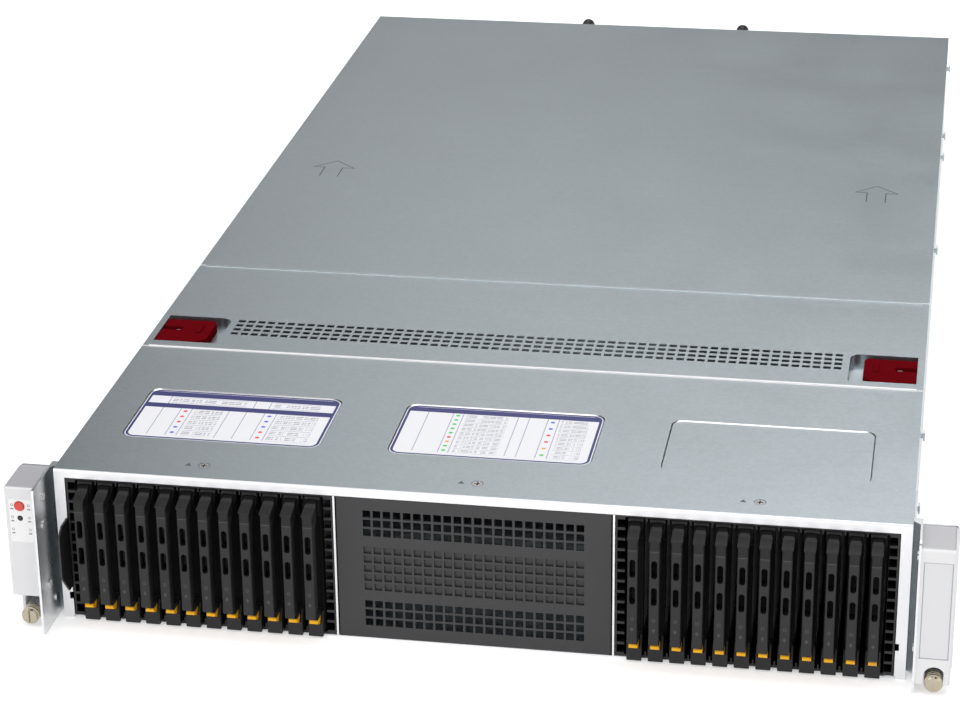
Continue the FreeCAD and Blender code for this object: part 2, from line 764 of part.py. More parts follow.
def backplane(name, sign):
    """Board behind one cage, with an upright socket for each drive."""
    body = new_body(name)
    inner, outer = sorted((f"{sign} * {CAGE_INNER}", f"{sign} * {CAGE_OUTER}"), key=size)
    board = Outline(body, "XZ", "cage_depth")
    board.rectangle(inner, outer, "wall", f"{CAGE_HIGH} - 2")
    board.pad("board_sheet", "+Y")
    first = "bay_inner" if sign == "1" else "-1 * bay_inner - bay_pitch * (bay_count - 1)"
    socket = Outline(body, "XZ", "cage_depth")
    middle = f"({BAY_LOW} + {BAY_HIGH}) / 2"
    socket.rectangle(
        f"{first} - 2.5", f"{first} + 2.5", f"{middle} - drive_edge_height / 2 - 2", f"{middle} + drive_edge_height / 2 + 2"
    )
    block = socket.pad("cage_depth - sled_front - drive_length - drive_edge - 2 * fit", "-Y")
    repeat(body, [block], "X", "bay_pitch", "bay_count")
    return body


def sled():
    """Carrier: base block, cheeks that hold the lever and the catch, spine and thin rails."""
    body = new_body("sled")
    cheek = Outline(body, "YZ")
    cheek.polygon(
        ("-1 * sled_block", "wall"), ("-2 * fit", "wall"), ("-2 * fit", BAY_LOW),
        ("sled_front", BAY_LOW), ("sled_front", BAY_HIGH),
        ("-1 * fit", BAY_HIGH), ("-1 * fit", "lever_pin_height + 4"),
        ("-1 * lever_pin_forward - lever_lug", "lever_pin_height + lever_lug"),
        ("-1 * lever_pin_forward - lever_lug", "lever_pin_height - lever_lug"),
        ("cleft_back - 1.2", "lever_pin_height - 6"), ("cleft_back - 1.2", "sled_block_height + catch_height + 2"),
        ("0", "sled_block_height + catch_height"), ("-1 * sled_block", "sled_block_height"),
    )
    cheek.pad("sled_bezel", "both")
    cleft = Outline(body, "YZ")
    cleft.rectangle("-1 * lever_forward", "cleft_back", "sled_block_height", f"{BAY_HIGH} - sled_bridge")
    cleft.pocket("lever_width + 2 * fit", "both")
    pin = Outline(body, "YZ")
    pin.circle("-1 * lever_pin_forward", "lever_pin_height", "lever_pin_radius")
    pin.pad("sled_bezel", "both")
    rails = Outline(body, "XZ", "sled_front")
    half = "sled_width / 2"
    rails.rectangle(f"-1 * {half}", half, BAY_LOW, f"{BAY_LOW} + rail_sheet")
    rails.rectangle(f"-1 * {half}", half, f"{BAY_HIGH} - rail_sheet", BAY_HIGH)
    rails.pad("drive_length", "+Y")
    return body


def drive():
    """Slim upright drive with its card edge at the rear."""
    body = new_body("drive")
    middle = f"({BAY_LOW} + {BAY_HIGH}) / 2"
    half = "drive_thick / 2"
    case = Outline(body, "XZ", "sled_front")
    case.rectangle(f"-1 * {half}", half, f"{middle} - drive_height / 2", f"{middle} + drive_height / 2")
    case.pad("drive_length", "+Y")
    edge = Outline(body, "XZ", "sled_front + drive_length")
    reach = "drive_edge_height / 2"
    edge.rectangle("-1 * drive_edge_sheet / 2", "drive_edge_sheet / 2", f"{middle} - {reach}", f"{middle} + {reach}")
    edge.pad("drive_edge", "+Y")
    return body


def lever():
    """Upright handle: deep slotted bar, sloping wider cap and the lug that turns on the sled's pin."""
    body = new_body("lever")
    front = "-1 * lever_forward"
    back = "(-1 * (lever_forward - lever_thick))"
    lug = "(-1 * lever_pin_forward + lever_lug)"
    profile = Outline(body, "YZ")
    profile.polygon(
        (front, "lever_low"), (front, "lever_bend"), ("-1 * fit", "lever_high"),
        (lug, "lever_pin_height + lever_lug"), (lug, "lever_pin_height - lever_lug"),
        ("-1 * lever_pin_forward - lever_lug", "lever_pin_height - 4"), (back, "lever_pin_height - 8"),
        (back, "lever_low + 4"),
    )
    profile.pad("lever_width", "both")
    dress(body, "Chamfer", "0.4", [
        ("z", {"x": f"{sign} * lever_width / 2", "y": front}) for sign in ("-1", "1")
    ])
    slope = "(lever_high - lever_bend) / (lever_forward - fit)"
    cap = Outline(body, "YZ")
    cap.polygon(
        (front, "lever_bend - cap_edge"), (front, "lever_bend"),
        ("-1 * cap_back", f"lever_bend + {slope} * (lever_forward - cap_back)"), ("-1 * cap_back", "lever_bend"),
    )
    cap.pad("cap_width", "both")
    eye = Outline(body, "YZ")
    eye.circle("-1 * lever_pin_forward", "lever_pin_height", "lever_pin_radius + pin_fit")
    eye.pocket("lever_width", "both")
    slots = Outline(body, "XZ", front)
    for high in ("lever_slot_low", "lever_slot_high"):
        top = f"{high} - lever_slot_radius"
        low = f"{high} - lever_slot_length + lever_slot_radius"
        slots.slot(("0", low), ("0", top), "lever_slot_radius")
    slots.pocket("lever_thick", "+Y")
    return body


def catch():
    """Release tab between the lower cheeks: a wedge with a small flat nose."""
    body = new_body("catch")
    level = "sled_block_height + fit / 3"
    nose = "-1 * catch_nose"
    top = f"{level} + catch_height"
    back = "cleft_back - catch_travel - fit"
    wedge = Outline(body, "YZ")
    wedge.polygon(
        ("-1 * sled_block", level), (nose, f"{level} + 2.2"), (nose, f"{level} + 3.7"),
        ("-1 * sled_block", top), (back, top), (back, level),
    )
    wedge.pad("catch_width", "both")
    return body


def drive_carriers(parts):
    """Twenty-four carriers; one has its lever and catch as nodes of their own."""
    frame, module, handle, tab = parts
    for bank, sign in (("left", "-1"), ("right", "1")):
        for index in range(int(SIZES["bay_count"])):
            steps = 11 - index if sign == "-1" else index
            across = f"{sign} * (bay_inner + {steps} * bay_pitch)"
            name = f"carrier_{bank}_{index + 1:02d}"
            if name == "carrier_right_12":
                group(name, [frame, module], across)
                group("drive_lever", [handle], across)
                group("drive_catch", [tab], across)
            else:
                group(name, [frame, module, handle, tab], across)


# ---------------------------------------------------------------- rack ears


def ear_bracket(name, sign, front):
    """Sheet bracket: rack flange, upright web, joggle and strap along the chassis wall."""
    body = new_body(name)
    rack = "rack_width / 2"
    plan = Outline(body, "XY")
    plan.polygon(
        (f"{sign} * {rack}", "face_forward"), (f"{sign} * {rack}", "face_forward - ear_sheet"),
        (f"{sign} * (ear_web + ear_sheet)", "face_forward - ear_sheet"), (f"{sign} * (ear_web + ear_sheet)", f"-1 * {front}"),
        (f"{sign} * ear_web", f"-1 * {front}"), (f"{sign} * ear_web", "6"),
        (f"{sign} * {SIDE}", "9.5"), (f"{sign} * {SIDE}", "ear_strap"),
        (f"{sign} * ({SIDE} + ear_sheet)", "ear_strap"), (f"{sign} * ({SIDE} + ear_sheet)", "face_forward"),
    )
    plan.pad("ear_web_height", "+Z")
    trim = Outline(body, "XY", "ear_flange_height")
    ends = sorted((f"{sign} * ({rack} + 1)", f"{sign} * (ear_web + ear_sheet)"), key=size)
    trim.rectangle(*ends, "face_forward - ear_sheet", "face_forward")
    trim.pocket("ear_web_height - ear_flange_height", "+Z")
    dress(body, "Fillet", "ear_corner", [
        ("x", {"y": f"-1 * {front}", "z": "0"}), ("x", {"y": f"-1 * {front}", "z": "ear_web_height"}),
        ("x", {"y": "ear_strap", "z": "0"}), ("x", {"y": "ear_strap", "z": "ear_web_height"}),
        ("y", {"x": f"{sign} * {rack}", "z": "0"}), ("y", {"x": f"{sign} * {rack}", "z": "ear_flange_height"}),
    ])
    collar = Outline(body, "XZ", "face_forward - ear_sheet")
    collar.circle(f"{sign} * {SCREW}", "screw_height", "collar_radius")
    collar.pad("face_forward - ear_sheet + collar_front", "-Y")
    bore = Outline(body, "XZ", "-1 * collar_front")
    bore.circle(f"{sign} * {SCREW}", "screw_height", "thumb_shank + pin_fit")
    bore.pocket("face_forward + collar_front", "+Y")
    holes = Outline(body, "YZ", f"{sign} * ear_web")
    for back, up in web_screws(sign):
        holes.circle(back, up, "1.6")
    holes.pocket("ear_sheet", "-X" if sign == "-1" else "+X")
    return node(body)


def web_screws(sign):
    """Places (back, up) of the small screws that hold the ear's front box to its web."""
    if sign == "-1":
        return (("-9.7", "74.5"), ("-11.5", "59.5"), ("-8.9", "24"), ("0", "12"))
    return (("-8.9", "74.5"), ("-8.9", "24"))


def arch(body, sign, front, back):
    """Round-topped clearance for the thumbscrew, open at the bottom."""
    opening = Outline(body, "XZ", f"-1 * {front}")
    opening.slot((f"{sign} * {SCREW}", "-8"), (f"{sign} * {SCREW}", "arch_height"), "arch_radius")
    opening.pocket(f"{front} + {back}", "+Y")


def control_panel_housing():
    """Hollow plastic box on the left ear, its foot round the thumbscrew, and its board."""
    body = new_body("panel_shell")
    outer = "-1 * rack_width / 2"
    inner = "-1 * (ear_web + ear_sheet)"
    back = "face_forward - ear_sheet"
    block = Outline(body, "XY", "panel_low")
    block.rectangle(outer, inner, "-1 * panel_front", back)
    block.pad("panel_height - panel_low", "+Z")
    foot = Outline(body, "XY", "1")
    foot.rectangle(f"{inner} - panel_foot_width", inner, "-1 * panel_foot_front", back)
    foot.pad("panel_low - 1", "+Z")
    dress(body, "Fillet", "1.5", [
        ("x", {"y": "-1 * panel_front", "z": "panel_height"}), ("z", {"x": outer, "y": "-1 * panel_front"}),
        ("y", {"x": outer, "z": "panel_height"}),
    ])
    arch(body, "-1", "panel_front", "face_forward")
    cavity = Outline(body, "XZ", back)
    cavity.rectangle(f"{outer} + panel_wall", f"{inner} - panel_wall", "panel_low + panel_wall", "panel_height - panel_wall")
    cavity.pocket(f"{back} + panel_front - panel_wall", "-Y")
    middle = f"({outer} + {inner}) / 2"
    holes = Outline(body, "XZ", "-1 * panel_front")
    holes.circle(button_across(), "power_height", "power_radius + fit")
    holes.circle(button_across(), "uid_height", "uid_radius + fit")
    holes.pocket("panel_wall", "+Y")
    board = new_body("panel_board")
    sheet_face = Outline(board, "XZ", "-1 * panel_front + 8")
    sheet_face.rectangle(f"{outer} + panel_wall", f"{inner} - panel_wall", "45", "panel_height - panel_wall")
    sheet_face.pad("board_sheet", "+Y")
    switches = Outline(board, "XZ", "-1 * panel_front + 8")
    switches.rectangle(f"{button_across()} - 1.8", f"{button_across()} + 1.8", "power_height - 1.8", "power_height + 1.8")
    switches.rectangle(f"{button_across()} - 1.8", f"{button_across()} + 1.8", "uid_height - 1.8", "uid_height + 1.8")
    switches.pad("2.4", "-Y")
    return group("control_panel_housing", [body, board])


def button_across():
    """Distance of the two buttons from the centre line, on the left ear."""
    return "(-1 * rack_width / 2 + button_place - 1.3)"


def panel_button(name, height, radius):
    """Button: a cap through the panel, a retaining flange inside and a stem to the switch."""
    body = new_body(name)
    face = Outline(body, "XZ", "-1 * panel_front - 0.4")
    face.circle("0", "0", radius)
    face.pad("panel_wall + 0.4 + fit", "+Y")
    flange = Outline(body, "XZ", "-1 * panel_front + panel_wall + fit")
    flange.circle("0", "0", f"{radius} + 0.9")
    flange.pad("0.8", "+Y")
    stem = Outline(body, "XZ", "-1 * panel_front + panel_wall + fit + 0.8")
    stem.circle("0", "0", "0.9")
    stem.pad("8 - 2.4 - panel_wall - fit - 0.8 - button_travel - fit", "+Y")
    return node(body, button_across(), "0", height)


def ear_cover_right():
    """Plain box on the right ear with a blank front panel and the thumbscrew arch."""
    body = new_body("ear_cover_right")
    inner = "ear_web + ear_sheet"
    back = "face_forward - ear_sheet"
    block = Outline(body, "XY", "screw_height - 0.4")
    block.rectangle(inner, "rack_width / 2 - 0.8", "-1 * panel_front", back)
    block.pad("panel_height - screw_height + 0.4", "+Z")
    dress(body, "Fillet", "2", [
        ("x", {"y": "-1 * panel_front", "z": "panel_height"}), ("z", {"x": "rack_width / 2 - 0.8", "y": "-1 * panel_front"}),
        ("y", {"x": "rack_width / 2 - 0.8", "z": "panel_height"}),
    ])
    arch(body, "1", "panel_front", "face_forward")
    blank = Outline(body, "XZ", "-1 * panel_front")
    middle = f"({inner} + rack_width / 2 - 0.8) / 2"
    blank.rectangle(f"{middle} - blank_width / 2", f"{middle} + blank_width / 2", "blank_low", "blank_high")
    blank.pocket("0.5", "+Y")
    return node(body)


def thumbscrew(name, sign):
    """Captive rack screw: slotted face, knob with three bands, waist in the ear, free end."""
    body = new_body(name)
    front = "-1 * thumb_front"
    head_back = "(-1 * collar_front - fit)"
    free_end = "face_forward + thumb_free"
    step = f"({head_back} + thumb_front - thumb_face) / thumb_bands"
    bands = []
    for index in range(int(SIZES["thumb_bands"])):
        start = f"({front} + thumb_face + {index} * {step})"
        bands += [
            ("thumb_radius - 0.3", start), ("thumb_band", f"{start} + 0.3"),
            ("thumb_band", f"{start} + {step} - 0.5"), ("thumb_radius - 0.3", f"{start} + {step} - 0.2"),
        ]
    profile = Outline(body, "XY")
    profile.polygon(
        ("0", front), ("thumb_radius - 0.6", front), ("thumb_radius", f"{front} + 0.6"),
        ("thumb_radius", f"{front} + thumb_face - 0.3"), *bands, ("thumb_radius - 0.3", head_back),
        ("thumb_waist", head_back), ("thumb_waist", "face_forward + fit"), ("thumb_shank", "face_forward + fit"),
        ("thumb_shank", f"{free_end} - 0.8"), ("thumb_shank - 0.8", free_end), ("0", free_end),
    )
    profile.revolve("Y_Axis")
    drive_slot = Outline(body, "XZ", front)
    drive_slot.rectangle("-0.5", "0.5", "-1 * thumb_radius", "thumb_radius")
    drive_slot.pocket("thumb_face - 0.2", "+Y")
    return node(body, f"{sign} * {SCREW}", "0", "screw_height")


def asset_tag():
    """Thin plate with a bevelled front end that pulls out of the left column."""
    body = new_body("asset_tag")
    profile = Outline(body, "YZ", "-1 * tag_place")
    profile.polygon(
        ("tag_length", "tag_low"), ("tag_length", "tag_high"), ("-1 * tag_forward + 6", "tag_high"),
        ("-1 * tag_forward", "tag_high - 4"), ("-1 * tag_forward", "tag_low + 12"),
        ("-1 * tag_forward + 10", "tag_low"),
    )
    profile.pad("tag_sheet", "+X")
    return node(body)


# ---------------------------------------------------------------- inside


def fan_frames():
    """Four square fan frames, each with a bore, a rear spider and a bearing boss."""
    body = new_body("fan_frames")
    half = "fan_size / 2"
    first = "-1.5 * fan_pitch"
    middle = f"wall + {half}"
    frame = Outline(body, "XZ", "fan_front")
    frame.rectangle(f"{first} - {half}", f"{first} + {half}", "wall", "wall + fan_size")
    frame.circle(first, middle, "fan_bore")
    ring = frame.pad("fan_depth", "+Y")
    spider = Outline(body, "XZ", "fan_front + fan_depth - 3")
    spider.rectangle(f"{first} - 1.5", f"{first} + 1.5", f"{middle} - fan_bore - 1", f"{middle} + fan_bore + 1")
    spokes = spider.pad("3", "+Y")
    cross = Outline(body, "XZ", "fan_front + fan_depth - 3")
    cross.rectangle(f"{first} - fan_bore - 1", f"{first} + fan_bore + 1", f"{middle} - 1.5", f"{middle} + 1.5")
    arms = cross.pad("3", "+Y")
    boss = Outline(body, "XZ", "fan_front + fan_depth - 8")
    boss.circle(first, middle, "fan_hub")
    hub = boss.pad("8", "+Y")
    eye = Outline(body, "XZ", "fan_front + fan_depth - 8")
    eye.circle(first, middle, "fan_shaft + pin_fit")
    bore = eye.pocket("8", "+Y")
    repeat(body, [ring, spokes, arms, hub, bore], "X", "fan_pitch", "4")
    return node(body)


def fan_rotor():
    """Fan rotor: cup hub, shaft and pitched blades, drawn round its own axis."""
    body = new_body("rotor")
    hub = Outline(body, "XZ", "fan_front + 3")
    hub.circle("0", "0", "fan_hub")
    hub.pad("fan_depth - 8 - 3 - fit", "+Y")
    shaft = Outline(body, "XZ", "fan_front + fan_depth - 8 - fit")
    shaft.circle("0", "0", "fan_shaft")
    shaft.pad("7", "+Y")
    root = Outline(body, "XY", "fan_hub - 2")
    tip = Outline(body, "XY", "fan_bore - 3")
    near = "fan_front + 5"
    far = "fan_front + fan_depth - 10"
    root.polygon(("-4", near), ("-2.6", near), ("4", far), ("2.6", far))
    tip.polygon(("-10", near), ("-8.8", near), ("10", far), ("8.8", far))
    blade = body.newObject("PartDesign::AdditiveLoft", "rotor_blade")
    blade.Profile = root.sketch
    blade.Sections = [tip.sketch]
    blade.Ruled = True
    doc.recompute()
    around = body.newObject("PartDesign::PolarPattern", "rotor_blades")
    around.Originals = [blade]
    around.Axis = (origin_item(body, "Y_Axis"), [""])
    around.Angle = 360
    around.setExpression("Occurrences", bind("fan_blades"))
    body.Tip = around
    doc.recompute()
    return body


def motherboard():
    """Main board with processor sockets and memory sockets, notched round the supplies."""
    body = new_body("motherboard")
    board = Outline(body, "XY", "board_lift")
    left = f"-1 * {SIDE} + wall + 3"
    right = f"{SIDE} - wall - 3"
    board.polygon(
        (left, "board_front"), (right, "board_front"), (right, "chassis_depth - 12"),
        ("-1 * supply_place + 20", "chassis_depth - 12"),
        ("-1 * supply_place + 20", "chassis_depth - supply_length - 20"),
        (left, "chassis_depth - supply_length - 20"),
    )
    board.pad("board_sheet", "+Z")
    sockets = Outline(body, "XY", BOARD_TOP)
    for sign in ("-1", "1"):
        middle = f"{sign} * cpu_pitch / 2"
        sockets.rectangle(f"{middle} - 28", f"{middle} + 28", "cpu_back - 38", "cpu_back + 38")
    sockets.pad("socket_height", "+Z")
    bars = Outline(body, "XY", BOARD_TOP)
    for start, towards in memory_banks():
        bars.rectangle(f"{start} - 3", f"{start} + 3", "cpu_back - memory_length / 2 - 3", "cpu_back + memory_length / 2 + 3")
    slots = bars.pad("memory_slot_height", "+Z")
    repeat(body, [slots], "X", "memory_pitch", "memory_count / 2")
    return node(body)


def memory_banks():
    """Start of each row of memory modules, one on each side of each processor."""
    gap = "(sink_width / 2 + 6)"
    run = "memory_pitch * (memory_count / 2 - 1)"
    starts = []
    for sign in ("-1", "1"):
        middle = f"{sign} * cpu_pitch / 2"
        starts.append((f"({middle} - {gap} - {run})", "+X"))
        starts.append((f"({middle} + {gap})", "+X"))
    return starts


def memory_modules():
    """Upright memory modules standing in their sockets."""
    body = new_body("memory_modules")
    level = f"{BOARD_TOP} + memory_slot_height"
    rows = Outline(body, "XY", level)
    for start, towards in memory_banks():
        rows.rectangle(
            f"{start} - memory_sheet / 2", f"{start} + memory_sheet / 2",
            "cpu_back - memory_length / 2", "cpu_back + memory_length / 2",
        )
    cards = rows.pad("memory_height - 5", "+Z")
    repeat(body, [cards], "X", "memory_pitch", "memory_count / 2")
    return node(body)


def heatsinks():
    """Two finned coolers standing on the processor sockets."""
    body = new_body("heatsinks")
    level = f"({BOARD_TOP} + socket_height)"
    base = Outline(body, "XY", level)
    fins = Outline(body, "XY", f"{level} + sink_base")
    for sign in ("-1", "1"):
        middle = f"{sign} * cpu_pitch / 2"
        base.rectangle(f"{middle} - sink_width / 2", f"{middle} + sink_width / 2", "cpu_back - sink_length / 2", "cpu_back + sink_length / 2")
        edge = f"({middle} - sink_width / 2)"
        fins.rectangle(edge, f"{edge} + sink_fin", "cpu_back - sink_length / 2", "cpu_back + sink_length / 2")
    base.pad("sink_base", "+Z")
    first = fins.pad("sink_height - sink_base", "+Z")
    repeat(body, [first], "X", "(sink_width - sink_fin) / (sink_fins - 1)", "sink_fins")
    return node(body)


def power_supply(name, low):
    """Hot-swap power supply: case, rear inlet, fan grille slots and a fixed grab handle."""
    body = new_body(name)
    left = SUPPLY_LEFT
    right = SUPPLY_RIGHT
    case = Outline(body, "XZ", f"{REAR} - supply_length")
    case.rectangle(left, right, low, f"{low} + supply_height")
    case.pad("supply_length + 1", "+Y")
    inlet = Outline(body, "XZ", f"{REAR} + 1")
    inlet.rectangle(f"{right} - 32", f"{right} - 5", f"{low} + 14", f"{low} + 34")
    inlet.pocket("18", "-Y")
    prongs = Outline(body, "XZ", f"{REAR} - 17")
    for across, up in (("-25.5", "22"), ("-18.5", "27"), ("-11.5", "22")):
        centre = f"{right} + ({across})"
        prongs.rectangle(f"{centre} - 1", f"{centre} + 1", f"{low} + {up} - 2.5", f"{low} + {up} + 2.5")
    prongs.pad("14", "+Y")
    vents = Outline(body, "XZ", f"{REAR} + 1")
    vents.rectangle(f"{left} + 5", f"{left} + 33", f"{low} + 6", f"{low} + 8.5")
    slot = vents.pocket("3", "-Y")
    repeat(body, [slot], "Z", "4.8", "6")
    handle = Outline(body, "XY", f"{low} + 3")
    for across in ("36", "66"):
        handle.rectangle(f"{left} + {across}", f"{left} + {across} + 3", f"{REAR} + 1", f"{REAR} + supply_handle")
    handle.pad("6", "+Z")
    bar = Outline(body, "XY", f"{low} + 3")
    bar.rectangle(f"{left} + 36", f"{left} + 69", f"{REAR} + supply_handle", f"{REAR} + supply_handle + 4")
    bar.pad("6", "+Z")
    return node(body)


def supply_latch(name, low):
    """Thumb latch beside a supply's handle, with a rounded root that it turns on."""
    body = new_body(name)
    root = f"{SUPPLY_LEFT} + 35.3"
    back = f"({REAR} + 1 + fit + latch_root)"
    pivot = Outline(body, "XY", f"{low} + 11")
    pivot.circle(root, back, "latch_root")
    pivot.pad("14", "+Z")
    tab = Outline(body, "XY", f"{low} + 11")
    tab.polygon(
        (f"{root} - latch_root", back), (f"{root} + latch_root", back), (f"{root} + latch_root", f"{back} + 9.6"),
        (f"{root} + 3.7", f"{back} + 13.6"), (f"{root} + 2.3", f"{back} + 14.6"), (f"{root} - latch_root", f"{back} + 10.6"),
    )
    tab.pad("14", "+Z")
    return node(body)


def rear_io_panel():
    """Pierced rear panel over a notched port plate, and the sockets that stand in its notches."""
    left = "(-1 * supply_place + 12 + fit)"
    right = f"{SIDE} - wall - 8 - fit"
    body = new_body("rear_panel")
    face = Outline(body, "XZ", f"{REAR} - wall")
    face.rectangle(left, right, "port_plate_top + fit", f"{WALL_TOP} - 6 - fit")
    face.pad("wall", "+Y")
    ribs = Outline(body, "XZ", REAR)
    ribs.rectangle(f"{left} + 6", f"{left} + 110", "30", "32")
    ribs.rectangle(f"{left} + 122", f"{left} + 226", "30", "32")
    lines = ribs.pad("0.8", "+Y")
    repeat(body, [lines], "Z", "10", "5")
    vents = Outline(body, "XZ", REAR)
    for field in ("10", "126"):
        for row in range(4):
            low = f"(33.4 + {row} * 10)"
            vents.rectangle(f"{left} + {field}", f"{left} + {field} + 4", low, f"{low} + 5.2")
    hole = vents.pocket("wall", "-Y")
    repeat(body, [hole], "X", "8.6", "12")
    return group("rear_io_panel", [body, port_plate(left, right), port_housings(left)])


def port_plate(left, right):
    """Lower strip of the rear panel, notched from its bottom edge for each socket."""
    body = new_body("port_plate")
    low = "wall + 5 + fit"
    face = Outline(body, "XZ", f"{REAR} - wall")
    face.rectangle(left, right, low, "port_plate_top")
    face.pad("wall", "+Y")
    notches = Outline(body, "XZ", REAR)
    reach = "port_wall + fit"
    for start, end, _, high in port_places(left):
        notches.rectangle(f"{start} - {reach}", f"{end} + {reach}", low, f"{high} + {reach}")
    notches.pocket("wall", "-Y")
    return body


def port_housings(left):
    """Square-mouthed sockets that stand on the main board and end flush with the panel."""
    body = new_body("port_housings")
    shells = Outline(body, "XZ", f"{REAR} - port_depth")
    for start, end, low, high in port_places(left):
        shells.rectangle(f"{start} - port_wall", f"{end} + port_wall", f"{low} - port_wall", f"{high} + port_wall")
    shells.pad("port_depth", "+Y")
    mouths = Outline(body, "XZ", REAR)
    for start, end, low, high in port_places(left):
        mouths.rectangle(start, end, low, high)
    mouths.pocket("port_depth - 2", "-Y")
    return body


def port_places(left):
    """Sides and levels of each socket: two network ports and two stacked bus ports."""
    low = f"({BOARD_TOP} + port_wall)"
    return (
        (f"{left} + 20", f"{left} + 34", low, f"{low} + 12"),
        (f"{left} + 42", f"{left} + 56", low, f"{low} + 12"),
        (f"{left} + 66", f"{left} + 79.6", low, f"{low} + 5.8"),
        (f"{left} + 90", f"{left} + 103.6", low, f"{low} + 5.8"),
    )


# ---------------------------------------------------------------- fasteners


def screw_row(name, plane, lift, towards, spots, head, shank, head_reach, reach):
    """Separate screws in one plane: a low round head and a shank below it."""
    body = new_body(name)
    heads = Outline(body, plane, lift)
    shanks = Outline(body, plane, lift)
    away = {"-": "+", "+": "-"}[towards[0]] + towards[1]
    for across, up in spots:
        heads.circle(across, up, head)
        shanks.circle(across, up, shank)
    heads.pad(head_reach, away)
    shanks.pad(reach, towards)
    return body


def case_screws():
    """Cover screws in their dimples and the small screws through the ear webs."""
    spots = [(f"{step} * recess_pitch", "cover_screw_back") for step in ("-1", "0", "1")]
    lids = screw_row("lid_screws", "XY", "chassis_height - cover_sheet / 2", "-Z", spots, "2.8", "1.4", "0.45", "4")
    left = screw_row("left_screws", "YZ", "-1 * ear_web", "-X", web_screws("-1"), "2.3", "1.3", "0.7", "ear_sheet")
    right = screw_row("right_screws", "YZ", "ear_web", "+X", web_screws("1"), "2.3", "1.3", "0.7", "ear_sheet")
    return group("case_screws", [lids, left, right])


def rear_knobs():
    """Two black captive knobs on the rear cover's lip: neck, grip and stepped end."""
    body = new_body("rear_knobs")
    face = f"{REAR} + fit + cover_sheet"
    stages = (
        (face, "knob_neck", "knob_radius - knob_step"),
        (f"{face} + knob_neck", "knob_length - knob_neck - knob_step", "knob_radius"),
        (f"{face} + knob_length - knob_step", "knob_step", "knob_radius - knob_step"),
    )
    for lift, length, radius in stages:
        knobs = Outline(body, "XZ", lift)
        for sign in ("-1", "1"):
            knobs.circle(f"knob_shift + {sign} * knob_place", "knob_height", radius)
        knobs.pad(length, "+Y")
    return node(body)


def build():
    """Makes every sub-part."""
    chassis_tray()
    front_cover()
    middle_cover()
    rear_cover()
    cover_latch("cover_latch_left", "-1")
    cover_latch("cover_latch_right", "1")
    centre_grille()
    left_cage = drive_cage("drive_cage_left", "-1")
    tag_guides(left_cage)
    node(left_cage)
    node(drive_cage("drive_cage_right", "1"))
    group("backplanes", [backplane("backplane_left", "-1"), backplane("backplane_right", "1")])
    ear_bracket("ear_bracket_left", "-1", "ear_front_left")
    ear_bracket("ear_bracket_right", "1", "ear_front_right")
    control_panel_housing()
    panel_button("power_button", "power_height", "power_radius")
    panel_button("uid_button", "uid_height", "uid_radius")
    ear_cover_right()
    thumbscrew("thumbscrew_left", "-1")
    thumbscrew("thumbscrew_right", "1")
    asset_tag()
    fan_frames()
    rotor = fan_rotor()
    for index in range(4):
        group(f"fan_rotor_{index + 1}", [rotor], f"({index} - 1.5) * fan_pitch", "0", "wall + fan_size / 2")
    motherboard()
    memory_modules()
    heatsinks()
    power_supply("power_supply_lower", SUPPLY_LOW)
    power_supply("power_supply_upper", SUPPLY_HIGH)
    supply_latch("supply_latch_lower", SUPPLY_LOW)
    supply_latch("supply_latch_upper", SUPPLY_HIGH)
    rear_io_panel()
    case_screws()
    rear_knobs()
    drive_carriers((sled(), drive(), lever(), catch()))


def check():
    """Stops if any object failed or any sub-part is empty or broken."""
    for item in doc.Objects:
        if {"Invalid", "Error"} & set(item.State):
            raise RuntimeError(f"{item.Name}: {item.State}")
    for item in NODES:
        if item.Shape.isNull() or not item.Shape.isValid() or not item.Shape.Solids:
            raise RuntimeError(f"{item.Label} has no valid solid")


build()
doc.recompute()
check()
os.makedirs("parts", exist_ok=True)
for item in NODES:
    item.Shape.exportStep(f"parts/{item.Label}.step")
print(len(NODES), "sub-parts")
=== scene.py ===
# %% [markdown]
# # A rack server, two units high
# The shapes come from a finished CAD model, which is the fixed frame of this scene. What is added here is
# what a CAD model leaves out: the spangle of zinc, the grain of moulded plastic, stickers, printed arrows
# and the cross in each screw head. The frame is the CAD model's own: +X right, +Y back into the rack, +Z up.
# Shapes are worked out in metres, and places inside a material in millimetres.

# %% The fixed frame
import math
import bpy
import numpy as np
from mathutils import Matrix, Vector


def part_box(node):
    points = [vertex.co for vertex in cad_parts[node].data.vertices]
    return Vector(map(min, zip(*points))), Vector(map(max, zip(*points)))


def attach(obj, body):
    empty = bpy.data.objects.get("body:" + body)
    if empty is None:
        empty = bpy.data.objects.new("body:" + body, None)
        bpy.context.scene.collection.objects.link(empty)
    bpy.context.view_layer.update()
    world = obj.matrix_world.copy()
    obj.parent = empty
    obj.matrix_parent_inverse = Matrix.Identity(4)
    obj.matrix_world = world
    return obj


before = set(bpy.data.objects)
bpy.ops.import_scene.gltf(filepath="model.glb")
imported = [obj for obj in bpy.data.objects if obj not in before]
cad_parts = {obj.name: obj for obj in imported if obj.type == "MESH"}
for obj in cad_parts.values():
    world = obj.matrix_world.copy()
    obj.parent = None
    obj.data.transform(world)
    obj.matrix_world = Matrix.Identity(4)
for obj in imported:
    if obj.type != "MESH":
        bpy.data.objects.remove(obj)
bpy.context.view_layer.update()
print("pieces in the CAD model:", len(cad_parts))

# %% [markdown]
# ## Places
# A sticker or a screw sits on a sheet that the CAD model already has, so its place is read from that
# sheet's box. That way nothing has to be moved when the model changes. The front cover's three recesses,
# stickers and screws stand in three columns, whose middles are given in millimetres.

